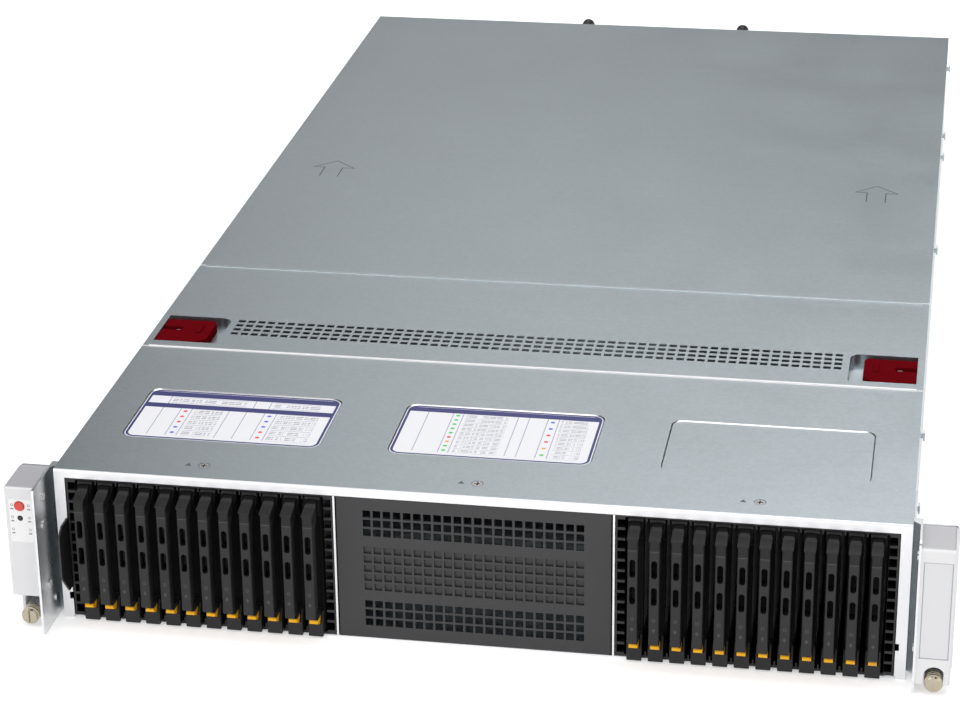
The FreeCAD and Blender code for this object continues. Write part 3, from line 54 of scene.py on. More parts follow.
# %% Levels and edges of the case
MM = 0.001
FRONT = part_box("front_cover")[0].y
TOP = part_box("front_cover")[1].z
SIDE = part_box("front_cover")[1].x
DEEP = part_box("rear_cover")[1].y
COLUMNS = (-142.5, 0.0, 142.5)
SCREW_Y = FRONT + 15.0 * MM
print("front, rear, top and half width:", *(round(edge, 4) for edge in (FRONT, DEEP, TOP, SIDE)))

# %% [markdown]
# ## Writing shader maths as sums
# A procedural material is a small formula. Joining Math nodes by hand hides the formula, so this class lets
# a socket be used like a number: adding two of them makes the Add node. Only the signs used below are
# defined.


# %% A socket that can be added, multiplied and compared
class Wire:
    """The output of a shader node. Each sign adds one Math node and gives its output back."""

    def __init__(self, tree, socket):
        self.tree = tree
        self.socket = socket

    def maths(self, operation, *others):
        values = dict(enumerate([self, *others]))
        return self.tree.add("ShaderNodeMath", {"operation": operation}, values)

    def __add__(self, other):
        return self.maths("ADD", other)

    def __sub__(self, other):
        return self.maths("SUBTRACT", other)

    def __rsub__(self, other):
        return (self * -1.0) + other

    def __mul__(self, other):
        return self.maths("MULTIPLY", other)

    def __truediv__(self, other):
        return self.maths("DIVIDE", other)

    def __gt__(self, other):
        return self.maths("GREATER_THAN", other)

    def __lt__(self, other):
        return self.maths("LESS_THAN", other)

    __radd__ = __add__
    __rmul__ = __mul__

    def size(self):
        return self.maths("ABSOLUTE")

    def between(self, low, high):
        """One where the value lies between two limits, nought elsewhere."""
        return (self > low) * (self < high)

    def either(self, other):
        return self.maths("MAXIMUM", other)

    def ramp(self, low, high):
        """Rises from nought at one value to one at the other."""
        values = {0: self, 1: low, 2: high, 3: 0.0, 4: 1.0}
        return self.tree.add("ShaderNodeMapRange", {"clamp": True}, values)


# %% A node tree under construction
class Nodes:
    """The nodes of a material or a surround, added one by one."""

    def __init__(self, owner):
        owner.use_nodes = True
        self.tree = owner.node_tree
        self.tree.nodes.clear()

    def add(self, kind, settings, values, out=0):
        """Adds a node: its settings first, then the values or links of its sockets."""
        node = self.tree.nodes.new(kind)
        for key, value in settings.items():
            setattr(node, key, value)
        for key, value in values.items():
            if isinstance(value, Wire):
                self.tree.links.new(value.socket, node.inputs[key])
            elif isinstance(value, tuple) and len(value) == 3 and node.inputs[key].type == "RGBA":
                node.inputs[key].default_value = (*value, 1.0)
            else:
                node.inputs[key].default_value = value
        return Wire(self, node.outputs[out])

    def parts(self, vector):
        """The three coordinates of a vector."""
        return [self.add("ShaderNodeSeparateXYZ", {}, {0: vector}, row) for row in range(3)]

    def end(self, kind, shader):
        """Links a shader to the tree's output."""
        output = self.tree.nodes.new(kind)
        self.tree.links.new(shader.socket, output.inputs["Surface"])


# %% A material under construction
class Finish(Nodes):
    """A material by place: x, y and z are Object coordinates in millimetres, counted from a given point."""

    def __init__(self, name, at=(0.0, 0.0, 0.0)):
        self.material = bpy.data.materials.new(name)
        super().__init__(self.material)
        place = self.add("ShaderNodeTexCoord", {}, {}, "Object")
        shifted = self.add("ShaderNodeMapping", {}, {0: place, 1: tuple(-part for part in at)})
        self.place = self.add("ShaderNodeVectorMath", {"operation": "SCALE"}, {0: shifted, 3: 1.0 / MM})
        self.x, self.y, self.z = self.parts(self.place)

    def noise(self, scale, detail=3.0, stretch=(1.0, 1.0, 1.0)):
        """Cloudy noise with so many clouds to the millimetre."""
        pulled = self.add("ShaderNodeVectorMath", {"operation": "MULTIPLY"}, {0: self.place, 1: stretch})
        values = {"Vector": pulled, "Scale": scale, "Detail": detail}
        return self.add("ShaderNodeTexNoise", {}, values, "Fac")

    def cells(self, scale):
        """A random grey for each of the small cells that fill space, as zinc spangle does."""
        cells = self.add("ShaderNodeTexVoronoi", {}, {"Vector": self.place, "Scale": scale}, "Color")
        return self.add("ShaderNodeSeparateColor", {}, {0: cells}, 0)

    def blend(self, share, first, second):
        """The first colour where the share is nought and the second where it is one."""
        settings = {"data_type": "RGBA", "clamp_factor": True}
        return self.add("ShaderNodeMix", settings, {0: share, 6: first, 7: second}, 2)

    def surface(self, colour, roughness, metallic=0.0, height=None, relief=0.02, **extra):
        """Ends the material in a Principled shader, with a bump whose height is in millimetres."""
        values = {"Base Color": colour, "Roughness": roughness, "Metallic": metallic}
        values.update({key.replace("_", " "): value for key, value in extra.items()})
        if height is not None:
            bump = {"Strength": 1.0, "Distance": relief * MM, "Height": height}
            values["Normal"] = self.add("ShaderNodeBump", {}, bump)
        self.end("ShaderNodeOutputMaterial", self.add("ShaderNodeBsdfPrincipled", {}, values))
        return self.material


def ring_distance(across, along):
    """How far a point is from the middle, from its two distances."""
    return (across * across + along * along).maths("SQRT")


# %% [markdown]
# ## Zinc-coated sheet
# The case is folded from pre-galvanised steel. Its zinc has cooled into fine crystals, a millimetre or two
# across, each a slightly different grey, and the rolling of the sheet leaves faint long streaks. So the
# colour is a random grey per cell plus streaks, and the roughness follows the same cells, because each
# crystal also shines differently. The front edge of each cover is a fold, and along it a painted highlight
# is put in the colour: a near-white, less metallic line where light catches the rounded edge.


# %% Zinc with spangle, rolling streaks and painted highlights along the folds
# Painted highlight along each cover's front fold: its half width in millimetres and its near-white colour.
FOLD_HIGHLIGHT_REACH = 0.9
FOLD_HIGHLIGHT_COLOUR = (0.90, 0.90, 0.92)
FOLDS = (FRONT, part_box("middle_cover")[0].y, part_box("rear_cover")[0].y)


def zinc(name, colour, shine=0.36, streaks=(0.004, 0.05, 0.05), folds=()):
    """Galvanised steel: crystal cells two sizes deep, streaks drawn out along X, painted highlights along
    the folds at some Y.
    """
    finish = Finish(name)
    crystals = finish.cells(0.55) * 0.6 + finish.cells(1.7) * 0.4
    cloud = finish.noise(0.02, 4.0)
    streak = finish.noise(6.0, 3.0, streaks)
    level = crystals * 0.50 + cloud * 0.30 + streak * 0.20
    dark = tuple(part * 0.86 for part in colour)
    light = tuple(min(1.0, part * 1.12) for part in colour)
    roughness = shine - 0.05 + crystals * 0.06 + cloud * 0.05
    shade = finish.blend(level, dark, light)
    metal = 1.0
    for fold in folds:
        # Painted highlight: near white and less metallic along each fold, where light catches the rounded
        # edge.
        fold_highlight = (finish.y - fold / MM).size() < FOLD_HIGHLIGHT_REACH
        shade = finish.blend(fold_highlight, shade, FOLD_HIGHLIGHT_COLOUR)
        metal = metal - fold_highlight * 0.5
    return finish.surface(shade, roughness, metal, crystals + streak, 0.006)


SHEET = zinc("zinc_sheet", (0.475, 0.525, 0.555), 0.325, folds=FOLDS)
EAR = zinc("ear_sheet", (0.72, 0.73, 0.74), 0.30, (0.05, 0.05, 0.004))
print("zinc for the case and the ears")

# %% [markdown]
# ## Giving a finish to the pieces of the CAD model
# The same two lines serve every piece, so they become a helper.


# %% One helper for all the pieces
def dress(material, *nodes):
    """Gives a material to pieces of the CAD model."""
    for node in nodes:
        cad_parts[node].data.materials.clear()
        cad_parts[node].data.materials.append(material)
    print(material.name, "on", len(nodes), "pieces")


dress(SHEET, "chassis_tray", "front_cover", "middle_cover", "rear_cover", "rear_io_panel")
dress(EAR, "ear_bracket_left", "ear_bracket_right")


# %% [markdown]
# ## Moulded plastic and powder paint
# Spark-eroded moulds leave an even, fine grain on plastic. Powder paint looks like orange peel: shallow,
# rounder and a little larger. Both are a bump of noise, and both get a faint change of colour and shine, as
# handling gives.


# %% Grained plastic and powder paint
def moulded(name, colour, shine=0.5, grain=4.0, relief=0.012, **extra):
    """Plastic or paint: fine grain in the bump, slow clouds in colour and shine."""
    finish = Finish(name)
    grains = finish.noise(grain, 2.0)
    cloud = finish.noise(0.05, 3.0)
    deep = tuple(part * 0.88 for part in colour)
    pale = tuple(min(1.0, part * 1.08) for part in colour)
    shade = finish.blend(cloud * 0.7 + grains * 0.3, deep, pale)
    roughness = shine - 0.04 + cloud * 0.08
    return finish.surface(shade, roughness, 0.0, grains, relief, **extra)


# %% The box on the right ear
EAR_TOP = 80.6
BLANK_X, BLANK_LEVEL = 231.85, 46.75
BLANK_HALVES = (7.2, 26.75)
LINE_HALVES = (6.7, 26.2)
BLANK_DEPTH = (-13.2, -12.7)


def ear_box_finish(name):
    """Pale plastic with painted shade on top, where the top face is grey, and a shadow line inside the blank
    panel in its front.
    """
    finish = Finish(name, (0.0, FRONT, 0.0))
    across = (finish.x - BLANK_X).size()
    up = (finish.z - BLANK_LEVEL).size()
    floor = (across < BLANK_HALVES[0]) * (up < BLANK_HALVES[1]) * finish.y.between(*BLANK_DEPTH)
    line = floor * (across > LINE_HALVES[0]).either(up > LINE_HALVES[1])
    # Painted shade: above EAR_TOP the top face is grey instead of the pale plastic.
    plain = finish.blend(finish.z > EAR_TOP, (0.80, 0.80, 0.81), (0.50, 0.50, 0.52))
    colour = finish.blend(line, finish.blend(floor, plain, (0.74, 0.74, 0.76)), (0.42, 0.42, 0.45))
    return finish.surface(colour, 0.38, 0.0, finish.noise(5.0, 2.0), 0.006)


dress(ear_box_finish("ear_plastic"), "ear_cover_right")

# %% Plain plastics and paints
dress(moulded("cage_paint", (0.010, 0.010, 0.011), 0.45), "drive_cage_left", "drive_cage_right")
dress(moulded("grille_paint", (0.028, 0.028, 0.030), 0.50, 2.5, 0.02), "centre_grille")
latch_plastic = moulded("latch_plastic", (0.13, 0.003, 0.006), 0.5, 5.0, 0.006, Specular_IOR_Level=0.0)
dress(latch_plastic, "cover_latch_left", "cover_latch_right")
dress(moulded("tag_plastic", (0.018, 0.018, 0.019), 0.40), "asset_tag")
dress(moulded("knob_plastic", (0.012, 0.012, 0.012), 0.45), "rear_knobs")
rotors = [f"fan_rotor_{row}" for row in range(1, 5)]
dress(moulded("fan_plastic", (0.02, 0.02, 0.02), 0.5), "fan_frames", *rotors)
dress(moulded("release_plastic", (0.86, 0.42, 0.02), 0.4), "drive_catch")
dress(moulded("supply_latch_plastic", (0.16, 0.01, 0.012), 0.4), "supply_latch_lower", "supply_latch_upper")

# %% [markdown]
# ## Twenty-four carriers with one material
# Each carrier is one piece of the CAD model, but a real one has four finishes: a charcoal plastic lever, a
# sled behind it, an orange release tab and a metal drive. Painted shade makes the sled and the slots in the
# lever near black and darkens the lever's cap, and a pale line along the cap's lower edge is a painted
# highlight. The bays repeat every 10.88 mm, so the material works out how far a point is from its own bay's
# middle and picks the finish by place. Small symbols are moulded into each lever. Places are half widths
# from the bay's middle, depths back from the front face, and levels above the floor.

# %% Where the bays and their zones are, in millimetres
PITCH = 10.88
FIRST = 82.47
TAB_HALF, TAB_DEPTH, TAB_LEVELS = 2.25, (-7.3, 0.0), (8.36, 12.4)
# The last levels on the next line are those of the painted highlight along the cap's lower edge.
CAP_DEPTH, CAP_LEVELS, CAP_HIGHLIGHT_LEVELS = -6.0, (68.9, 80.0), (68.5, 68.9)
DRIVE_HALF, DRIVE_DEPTH, DRIVE_LEVELS = 3.78, 8.2, (3.4, 79.1)
SLOT_HALF, SLOT_DEPTH, LOWER_SLOT, UPPER_SLOT = 1.49, -13.05, (38.65, 48.65), (53.65, 63.65)
# Painted shade: behind this depth and between these levels the carrier is near black.
SLED_DEPTH, SLED_LEVELS = -3.3, (14.5, 78.4)
LEVER_FACE = (-13.4, -13.1)
RING_LEVEL, RING_RADII, BAR_LEVEL = 30.4, (0.55, 0.95), 24.6
CARRIERS = [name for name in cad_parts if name.startswith("carrier_")]
print("carriers:", len(CARRIERS))


# %% Plastic, tab and drive in one material
def carrier_finish(name):
    """Charcoal plastic, orange where the tab is, aluminium where the drive is; painted shade near black on
    the sled and in the slots, painted shade on the cap and a painted highlight line under it.
    """
    finish = Finish(name, (0.0, FRONT, 0.0))
    bays = (finish.x.size() - (FIRST - PITCH / 2)) / PITCH
    across = (bays.maths("FRACT") - 0.5) * PITCH
    tab = (across.size() < TAB_HALF) * finish.y.between(*TAB_DEPTH) * finish.z.between(*TAB_LEVELS)
    # Painted shade darkens the cap's front; a painted highlight is the pale line along the cap's lower edge.
    cap = (finish.y < CAP_DEPTH) * finish.z.between(*CAP_LEVELS)
    cap_highlight = (finish.y < CAP_DEPTH) * finish.z.between(*CAP_HIGHLIGHT_LEVELS)
    drive = (across.size() < DRIVE_HALF) * (finish.y > DRIVE_DEPTH) * finish.z.between(*DRIVE_LEVELS)
    # Painted shade: the slots in the lever and the sled behind its front face are near black.
    slots = finish.z.between(*LOWER_SLOT).either(finish.z.between(*UPPER_SLOT))
    slot_shade = (across.size() < SLOT_HALF) * (finish.y > SLOT_DEPTH) * slots
    deep = slot_shade.either((finish.y > SLED_DEPTH) * finish.z.between(*SLED_LEVELS))
    grains = finish.noise(4.0, 2.0)
    cloud = finish.noise(0.05, 3.0)
    plastic = finish.blend(cloud, (0.020, 0.020, 0.021), (0.028, 0.028, 0.029))
    ring = ring_distance(across, finish.z - RING_LEVEL)
    bar = across.size() + (finish.z - BAR_LEVEL).size() * 0.7
    marks = finish.y.between(*LEVER_FACE) * ring.between(*RING_RADII).either(bar < 0.9)
    inked = finish.blend(marks, plastic, (0.07, 0.07, 0.08))
    cap_highlighted = finish.blend(cap_highlight, inked, (0.075, 0.075, 0.078))
    cap_shaded = finish.blend(cap * 0.6, cap_highlighted, (0.006, 0.006, 0.006))
    shaded = finish.blend(deep, cap_shaded, (0.002, 0.002, 0.002))
    tabbed = finish.blend(tab, shaded, (1.0, 0.50, 0.02))
    colour = finish.blend(drive, tabbed, (0.50, 0.51, 0.53))
    roughness = 0.44 + cloud * 0.08 - drive * 0.12 + deep * 0.45
    height = grains + marks * 4.0
    return finish.surface(colour, roughness, drive, height, 0.012, Specular_IOR_Level=0.24)


dress(carrier_finish("carrier_plastic"), *CARRIERS, "drive_lever")

# %% [markdown]
# ## Pieces inside the case
# They are seen through vents, behind the slid-out drives and with a cover lifted: boards of green laminate,
# finned aluminium coolers, and steel power supplies.


# %% Laminate, cooler aluminium and supply steel
def laminate(name):
    """Green solder mask over copper tracks: thin raised lines in two directions."""
    finish = Finish(name)
    lines = (finish.x * 0.9).maths("SINE") * (finish.y * 1.1).maths("SINE")
    tracks = (lines + finish.noise(0.12, 2.0) * 1.2) > 0.95
    colour = finish.blend(tracks, (0.010, 0.060, 0.030), (0.022, 0.125, 0.060))
    return finish.surface(colour, 0.35 + tracks * 0.08, 0.0, tracks, 0.03)


dress(laminate("board_laminate"), "motherboard", "backplanes", "memory_modules")
dress(zinc("cooler_metal", (0.72, 0.73, 0.74), 0.30, (0.05, 0.004, 0.05)), "heatsinks")
dress(zinc("supply_steel", (0.55, 0.58, 0.60), 0.34), "power_supply_lower", "power_supply_upper")

# %% [markdown]
# ## The control panel
# The box on the left ear is silver-white plastic with a white sticker. Three pairs of lamps with symbols
# sit round the power button and the small identification button. The symbols are generic rings and bars.

# %% Panel plastic with its sticker
PANEL_X = -232.9
STICKER_DEPTH = -13.4
STICKER_HALF, STICKER_LEVELS = 6.1, (49.5, 73.9)
SYMBOLS_HALF, SYMBOL_LEVELS = 4.5, (70.6, 63.7, 56.8)
POWER_X, POWER_LEVEL, HALO = -0.4, 70.1, 2.95


def panel_finish(name):
    """Pale plastic with painted shade on its top face; on its front a white sticker with six small symbols
    and six lamp bars.
    """
    finish = Finish(name, (0.0, FRONT, 0.0))
    across = finish.x - PANEL_X
    sticker = (finish.y < STICKER_DEPTH) * across.between(-STICKER_HALF, STICKER_HALF)
    sticker = sticker * finish.z.between(*STICKER_LEVELS)
    grains = finish.noise(5.0, 2.0)
    cloud = finish.noise(0.05, 3.0)
    side = across.size() - SYMBOLS_HALF
    symbols = None
    for level in SYMBOL_LEVELS:
        bar = (side.size() < 0.85) * ((finish.z - level + 2.2).size() < 0.42)
        mark = ring_distance(side, finish.z - level).between(0.42, 0.75).either(bar)
        symbols = mark if symbols is None else symbols.either(mark)
    halo = ring_distance(across - POWER_X, finish.z - POWER_LEVEL) < HALO
    plain = finish.blend(cloud * 0.7 + grains * 0.3, (0.72, 0.72, 0.73), (0.82, 0.82, 0.83))
    paper = finish.blend(symbols * 0.8, (0.90, 0.90, 0.90), (0.16, 0.16, 0.18))
    ringed = finish.blend(halo, paper, (0.85, 0.35, 0.32))
    # Painted shade: above EAR_TOP the top face is grey instead of the pale plastic.
    top_shaded = finish.blend(finish.z > EAR_TOP, plain, (0.42, 0.42, 0.44))
    colour = finish.blend(sticker, top_shaded, ringed)
    return finish.surface(colour, 0.38 - sticker * 0.08, 0.0, grains + sticker * 12.0, 0.006)


dress(panel_finish("panel_plastic"), "control_panel_housing")
power_plastic = moulded("power_button_plastic", (0.72, 0.045, 0.03), 0.3, 5.0, 0.004, Coat_Weight=0.4)
dress(power_plastic, "power_button")
dress(moulded("uid_button_plastic", (0.02, 0.02, 0.02), 0.35), "uid_button")

# %% [markdown]
# ## Nickel-plated thumbscrews
# Plated screws are bright, a little yellow, and turned on a lathe, which leaves rings round the axis. Rings
# across the length of the knob are a sine of Y.


# %% Plated steel with turning rings
def plated(name, colour):
    """Bright plating: fine rings along the axis and slow tarnish."""
    finish = Finish(name)
    rings = (finish.y * 14.0).maths("SINE")
    tarnish = finish.noise(0.35, 3.0)
    warm = (colour[0] * 0.86, colour[1] * 0.82, colour[2] * 0.74)
    return finish.surface(finish.blend(tarnish, colour, warm), 0.16 + tarnish * 0.12, 1.0, rings, 0.01)


dress(plated("nickel", (0.46, 0.42, 0.34)), "thumbscrew_left", "thumbscrew_right")


# %% Steel screw heads with a cross recess
HEAD_LEVEL = 85.0
CROSS_REACH = 1.7
CROSS_HALF = 0.38


def screw_finish(name):
    """Bright steel; on each of the three heads in the front cover, one to a column, a near-black cross of
    painted shade stands for the cross recess.
    """
    finish = Finish(name, (0.0, SCREW_Y, 0.0))
    half = COLUMNS[2] / 2
    across = ((finish.x.size() - half).size() - half).size()
    along = finish.y.size()
    level = (finish.z > HEAD_LEVEL) * (across < CROSS_REACH) * (along < CROSS_REACH)
    # Painted shade: the cross recess is near black and not metallic, with a sunken bump.
    cross = level * (across < CROSS_HALF).either(along < CROSS_HALF)
    tarnish = finish.noise(0.35, 3.0)
    bright = finish.blend(tarnish, (0.62, 0.62, 0.62), (0.46, 0.45, 0.43))
    colour = finish.blend(cross, bright, (0.02, 0.02, 0.02))
    return finish.surface(colour, 0.22 + tarnish * 0.1 + cross * 0.4, 1.0 - cross, cross * -1.0, 0.3)


dress(screw_finish("screw_steel"), "case_screws")

# %% [markdown]
# ## Thin plates from an outline
# Stickers and prints are all an outline with some height. The surface is worked out on a grid: one
# direction runs round the outline, the other goes up the side, over the rounded edge and in to the middle.


# %% A rounded rectangle
def rounded(across, along, radius, steps=8):
    """Corner by corner, a quarter circle about a centre set in from the corner by the radius."""
    turn = np.linspace(0.0, np.pi / 2, steps)
    parts = []
    for quarter, (sx, sy) in enumerate(((1, 1), (-1, 1), (-1, -1), (1, -1))):
        angle = turn + quarter * np.pi / 2
        centre = np.array((sx * (across / 2 - radius), sy * (along / 2 - radius)))
        parts.append(centre + radius * np.stack((np.cos(angle), np.sin(angle)), 1))
    return np.concatenate(parts)


# %% A closed surface round an outline
def shell(name, rings, body, material, hoop=False):
    """Joins rings of equally many points. A hoop's last ring joins its first; else both ends are closed."""
    count = len(rings[0])
    points = np.concatenate(rings)
    column = np.arange(count)
    after = (column + 1) % count
    starts = np.arange(len(rings)) * count
    pairs = list(zip(starts, starts[1:]))
    ends = [column[::-1].tolist(), (column + starts[-1]).tolist()]
    if hoop:
        pairs.append((starts[-1], starts[0]))
        ends = []
    quads = [np.stack((low + column, low + after, high + after, high + column), 1) for low, high in pairs]
    mesh = bpy.data.meshes.new(name)
    mesh.from_pydata(points.tolist(), [], np.concatenate(quads).tolist() + ends)
    mesh.materials.append(material)
    piece = bpy.data.objects.new(name, mesh)
    bpy.context.scene.collection.objects.link(piece)
    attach(piece, body)
    return piece


def plate(name, outline, centre, low, high, edge, body, material):
    """A flat plate: up the side, round the top edge by a quarter circle, level on top."""
    middle = outline.mean(0)
    reach = np.linalg.norm(outline - middle, axis=1).max()
    rings = []
    levels = [(0.0, low), (0.0, high - edge)]
    for turn in (0.5, 1.0, math.pi / 2):
        levels.append((edge * (1 - math.cos(turn)), high - edge * (1 - math.sin(turn))))
    for inset, level in levels:
        flat = middle + (outline - middle) * (1 - inset / reach)
        rings.append(np.column_stack((flat + centre, np.full(len(flat), level))))
    return shell(name, rings, body, material)


# %% [markdown]
# ## Stickers in the front cover's recesses
# Two of the three recesses hold a sticker: white, with a navy frame, one or two navy bars, columns and rows
# of thin lines, coloured dots and grey bars where a real one has words. Drawing it in the material keeps it
# crisp, and the sticker itself is a thin plate with rounded corners. A layout gives bars and tables. Each
# table has its start and end, its lines, and the columns that hold words.


# %% Layouts, in millimetres from the sticker's back left corner
WIDE = 105.6
LONG = 61.1
CORNER = 6.0
RED, BLUE = (0.80, 0.06, 0.05), (0.10, 0.14, 0.70)
GREEN, ORANGE = (0.06, 0.60, 0.10), (0.90, 0.40, 0.05)
NAVY = (0.022, 0.026, 0.16)
BUTTONS_STICKER = {
    "bars": ((2.2, 8.0), (17.2, 22.6)),
    "tables": (
        ((8.0, 17.2), (13.0, 60.0, 68.5), ((14.5, 56.0), (70.5, 96.0))),
        ((22.6, 56.3), (12.0, 22.0, 28.0, 48.5, 58.0, 68.0, 74.5), ((30.0, 45.5), (76.0, 98.0))),
    ),
    "rows": (22.6, 6.74),
    "dots": (
        (25.0, 22.6, 6.74, (RED, RED, RED, BLUE, BLUE)),
        (71.2, 22.6, 6.74, (BLUE, BLUE, BLUE, RED, RED)),
    ),
}
LAMPS_STICKER = {
    "bars": ((2.2, 7.6),),
    "tables": (((7.6, 56.3), (12.0, 25.5, 31.0, 60.5, 66.5, 76.5, 82.5), ((33.0, 56.0), (84.0, 99.0))),),
    "rows": (7.6, 5.41),
    "dots": (
        (28.2, 7.6, 5.41, (GREEN, GREEN, GREEN, GREEN, GREEN, RED, ORANGE, GREEN, GREEN)),
        (79.5, 7.6, 8.11, (BLUE, BLUE, RED, RED, ORANGE, GREEN)),
    ),
}


# %% The sticker's ink
def sticker_finish(name, centre, layout):
    """White paper with ink by place: frame, bars, lines, rows, grey words and coloured dots."""
    finish = Finish(name, centre)
    left = finish.x + WIDE / 2
    back = finish.y * -1.0 + LONG / 2
    corner_x = (finish.x.size() - (WIDE / 2 - CORNER)).maths("MAXIMUM", 0.0)
    corner_y = (finish.y.size() - (LONG / 2 - CORNER)).maths("MAXIMUM", 0.0)
    edge = ring_distance(corner_x, corner_y)
    inside = edge < CORNER - 0.5
    navy = edge.between(CORNER - 1.9, CORNER - 0.5)
    for low, high in layout["bars"]:
        navy = navy.either(back.between(low, high))
    lines = words = back < -1.0
    for levels, places, columns in layout["tables"]:
        table = back.between(*levels)
        for at in places:
            lines = lines.either(((left - at).size() < 0.22) * table)
        for low, high in columns:
            words = words.either(left.between(low, high) * table)
    start, step = layout["rows"]
    along = (((back - start) / step).maths("FRACT") - 0.5).size()
    rules = (along > 0.47) * words
    strokes = along.between(0.08, 0.22) * words * (finish.noise(0.9, 1.0, (1.0, 0.02, 0.0)) > 0.46)
    colour = finish.blend(strokes, (0.86, 0.86, 0.90), (0.36, 0.36, 0.40))
    colour = finish.blend(lines.either(rules) * 0.7, colour, (0.10, 0.10, 0.30))
    for at, low, step, inks in layout["dots"]:
        for index, ink in enumerate(inks):
            dot = ring_distance(left - at, back - (low + step * (index + 0.5))) < 1.15
            colour = finish.blend(dot, colour, ink)
    colour = finish.blend(navy * inside, colour, NAVY)
    return finish.surface(colour, 0.32, 0.0, finish.noise(3.0, 2.0), 0.003)


# %% The two stickers
RECESS_FLOOR = TOP - 0.5 * MM
RECESS_Y = FRONT + 75.25 * MM
GAP = 0.02 * MM
STICKERS = (("sticker_buttons", COLUMNS[0], BUTTONS_STICKER), ("sticker_lamps", COLUMNS[1], LAMPS_STICKER))
for name, across, layout in STICKERS:
    centre = (across * MM, RECESS_Y, 0.0)
    ink = sticker_finish(name + "_ink", centre, layout)
    outline = rounded(WIDE * MM, LONG * MM, CORNER * MM)
    low = RECESS_FLOOR + GAP
    plate(name, outline, centre[:2], low, low + 0.12 * MM, 0.03 * MM, "base", ink)
print("stickers", WIDE, "by", LONG, "mm")


# %% Sloping rims of the three recesses, in a painted highlight
# Painted highlight: the rims get a near-white zinc, far paler than the sheet, for the bright line where
# light catches the slope.
RIM_HIGHLIGHT_ZINC = zinc("rim_highlight_zinc", (0.86, 0.87, 0.88), 0.30)
RECESS_WIDE, RECESS_LONG, RECESS_CORNER = 107.0, 62.5, 6.0
RIM_WIDTH = 0.65
RIM_INSET = 0.02


def rim(name, across):
    """The drawn wall of a recess: a slope from the sheet's surface down to the floor, all the way round, in
    near-white zinc as a painted highlight.
    """
    rings = []
    low = RECESS_FLOOR + GAP
    for inset, level in ((RIM_WIDTH, low), (RIM_INSET, low), (RIM_INSET, TOP - GAP)):
        sizes = (RECESS_WIDE - 2 * inset, RECESS_LONG - 2 * inset, RECESS_CORNER - inset)
        outline = rounded(*(size * MM for size in sizes))
        rings.append(np.column_stack((outline + (across * MM, RECESS_Y), np.full(len(outline), level))))
    return shell(name, rings, "base", RIM_HIGHLIGHT_ZINC, hoop=True)


for row, across in enumerate(COLUMNS, 1):
    rim(f"recess_rim_{row}", across)
print("recess rims: 3")

# %% [markdown]
# ## Printed arrows and triangles
# Thin grey outlines of an arrow show which way the rear cover slides, and a small dark triangle marks each
# screw of the front cover. An outline is a ribbon: the same path offset to both sides.


# %% A ribbon along a path
def ribbon(name, path, width, level, body, material):
    """Offsets a path to both sides along the mean normal of its two runs, and gives it a small thickness."""
    path = np.array(path)
    runs = np.diff(path, axis=0)
    runs /= np.linalg.norm(runs, axis=1)[:, None]
    before = np.vstack((runs[:1], runs))
    after = np.vstack((runs, runs[-1:]))
    mean = before + after
    mean /= np.linalg.norm(mean, axis=1)[:, None]
    reach = width / 2 / np.clip((mean * before).sum(1), 0.5, 1.0)
    side = np.column_stack((-mean[:, 1], mean[:, 0])) * reach[:, None]
    high = level + 0.05 * MM
    rings = [
        np.array([(*left, level), (*right, level), (*right, high), (*left, high)])
        for left, right in zip(path + side, path - side)
    ]
    return shell(name, rings, body, material)


# %% Two arrows and three triangles
PRINT = moulded("print_ink", (0.10, 0.105, 0.11), 0.55, 3.0, 0.004)
ARROW_Y = FRONT + 455.0 * MM
ARROW_HALF = ((6.0, 0.0), (6.0, 17.0), (13.5, 17.0))
ARROW = np.array([(-x, y) for x, y in ARROW_HALF] + [(0.0, 30.0)] + [*reversed(ARROW_HALF)])
TRIANGLE = np.array(((0.0, 1.9), (-1.7, -1.2), (1.7, -1.2)))
TRIANGLE_SHIFT = -8.3
TRIANGLE_EDGE = 0.02 * MM
for name, across in (("arrow_left", -177.0), ("arrow_right", 180.0)):
    path = ARROW * MM + (across * MM, ARROW_Y)
    ribbon(name, path, 0.7 * MM, TOP + GAP, "rear_cover", PRINT)
for row, across in enumerate(COLUMNS, 1):
    centre = ((across + TRIANGLE_SHIFT) * MM, SCREW_Y)
    low = TOP + GAP
    high = low + 0.06 * MM
    plate(f"triangle_{row}", TRIANGLE * MM, centre, low, high, TRIANGLE_EDGE, "base", PRINT)
print("printed marks: 2 arrows, 3 triangles")

# %% [markdown]
# ## The studio
# A pale floor, broad soft lamps and a surround. The camera sees the surround white, and dull surfaces are
# lit by it evenly. Smooth metal shows it as a real room would look: bright in front up to a certain height,
# and dark behind, apart from a pale band higher up on the left and one bright window above it near the
# middle. The band and the window are what the flat covers reflect, so they give the sheet its slow change
# from grey to silver.

# %% Floor
floor_mesh = bpy.data.meshes.new("studio_floor")
corners = [(x * 30.0, y * 30.0, 0.0) for x, y in ((-1, -1), (1, -1), (1, 1), (-1, 1))]
floor_mesh.from_pydata(corners, [], [(0, 1, 2, 3)])
floor = bpy.data.objects.new("studio_floor", floor_mesh)
bpy.context.scene.collection.objects.link(floor)
paving = Finish("floor_paint")
is_camera = paving.add("ShaderNodeLightPath", {}, {}, "Is Camera Ray")
is_glossy = paving.add("ShaderNodeLightPath", {}, {}, "Is Glossy Ray")
glow = {"Emission_Color": (1.0, 1.0, 1.0), "Emission_Strength": is_camera.either(is_glossy) * 0.42}
paving.surface((0.88, 0.88, 0.88), 0.9, **glow)
floor_mesh.materials.append(paving.material)

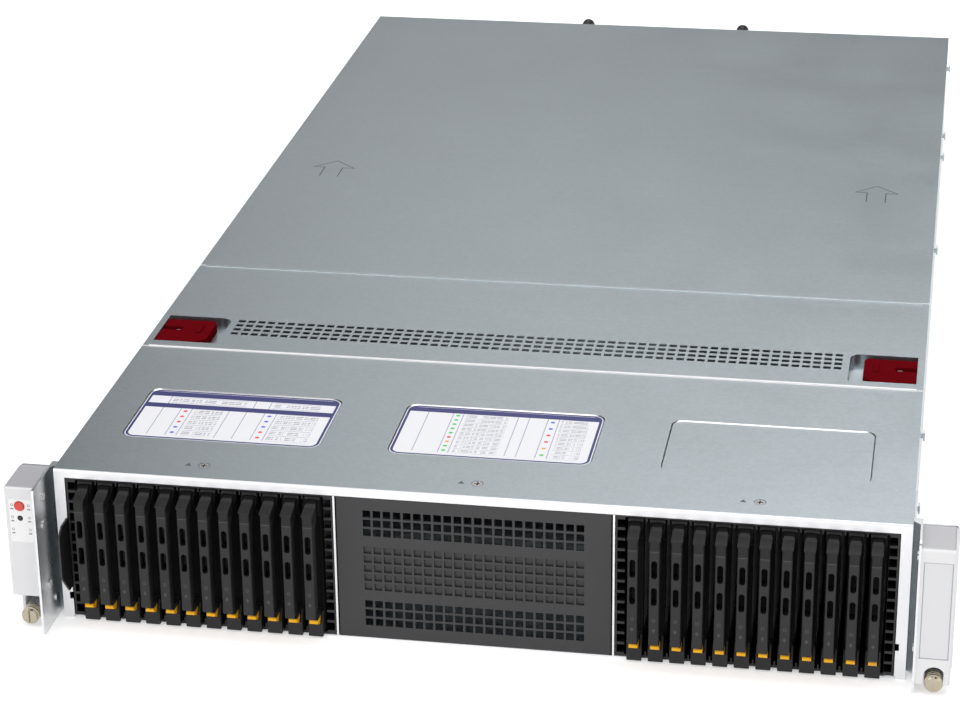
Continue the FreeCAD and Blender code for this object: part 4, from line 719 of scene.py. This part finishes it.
# %% Surround
WINDOW = (0.052, 0.741, 0.669)
WINDOW_EDGE = (13.0, 5.0)
world = bpy.data.worlds.new("surround")
bpy.context.scene.world = world
sky = Nodes(world)
east, north, up = sky.parts(sky.add("ShaderNodeTexCoord", {}, {}, "Generated"))
front = (1.0 - north.ramp(-0.2, 0.2)) * (1.0 - up.ramp(0.45, 0.80))
back = north.ramp(-0.2, 0.2)
bearing = east / north.maths("MAXIMUM", 0.05)
band = up.ramp(0.28, 0.36) * (1.0 - up.ramp(0.50, 0.60))
pale = band * bearing.ramp(-0.44, -0.28) * (1.0 - bearing.ramp(-0.16, -0.02))
towards = east * WINDOW[0] + north * WINDOW[1] + up * WINDOW[2]
window = towards.ramp(*(math.cos(math.radians(angle)) for angle in WINDOW_EDGE))
mirrored = front * 1.5 + back * (0.02 + pale * 0.95 + window * 5.2)
is_camera = sky.add("ShaderNodeLightPath", {}, {}, "Is Camera Ray")
is_glossy = sky.add("ShaderNodeLightPath", {}, {}, "Is Glossy Ray")
soft = 0.36 + 0.55 * (1.0 - north.ramp(-0.6, 0.3))
strength = is_camera + is_glossy * mirrored + (1.0 - is_camera) * (1.0 - is_glossy) * soft
background = sky.add("ShaderNodeBackground", {}, {"Color": (1.0, 1.0, 1.0), "Strength": strength})
sky.end("ShaderNodeOutputWorld", background)


# %% Lamps
def lamp(name, place, target, power, wide, high):
    """A rectangular soft lamp that faces a point."""
    light = bpy.data.lights.new(name, "AREA")
    light.shape = "RECTANGLE"
    light.size = wide
    light.size_y = high
    light.energy = power
    holder = bpy.data.objects.new(name, light)
    bpy.context.scene.collection.objects.link(holder)
    holder.location = place
    east, north, up = (end - start for start, end in zip(place, target))
    tilt = math.atan2(math.hypot(east, north), -up)
    holder.rotation_euler = (tilt, 0.0, math.atan2(north, east) - math.pi / 2)


lamp("key_lamp", (-1.6, -1.8, 2.4), (0.0, 0.2, 0.0), 20.0, 1.6, 1.6)
lamp("top_lamp", (0.3, 0.3, 2.6), (0.0, 0.3, 0.0), 26.0, 1.8, 1.8)
lamp("fill_lamp", (1.9, -1.4, 1.4), (0.0, 0.2, 0.0), 6.0, 1.4, 1.4)
print("three lamps")

# %% [markdown]
# ## Camera
# A long lens from above the front, a little right of the middle, as a product picture of a rack server is
# taken.

# %% Camera
lens = bpy.data.cameras.new("camera")
lens.sensor_width = 36.0
lens.lens = 104.83
camera = bpy.data.objects.new("camera", lens)
bpy.context.scene.collection.objects.link(camera)
camera.location = (0.22763, -1.24820, 0.70480)
camera.rotation_euler = (1.16177762, 0.0120484126, 0.173220245)
bpy.context.scene.camera = camera
bpy.context.scene.view_settings.view_transform = "Standard"
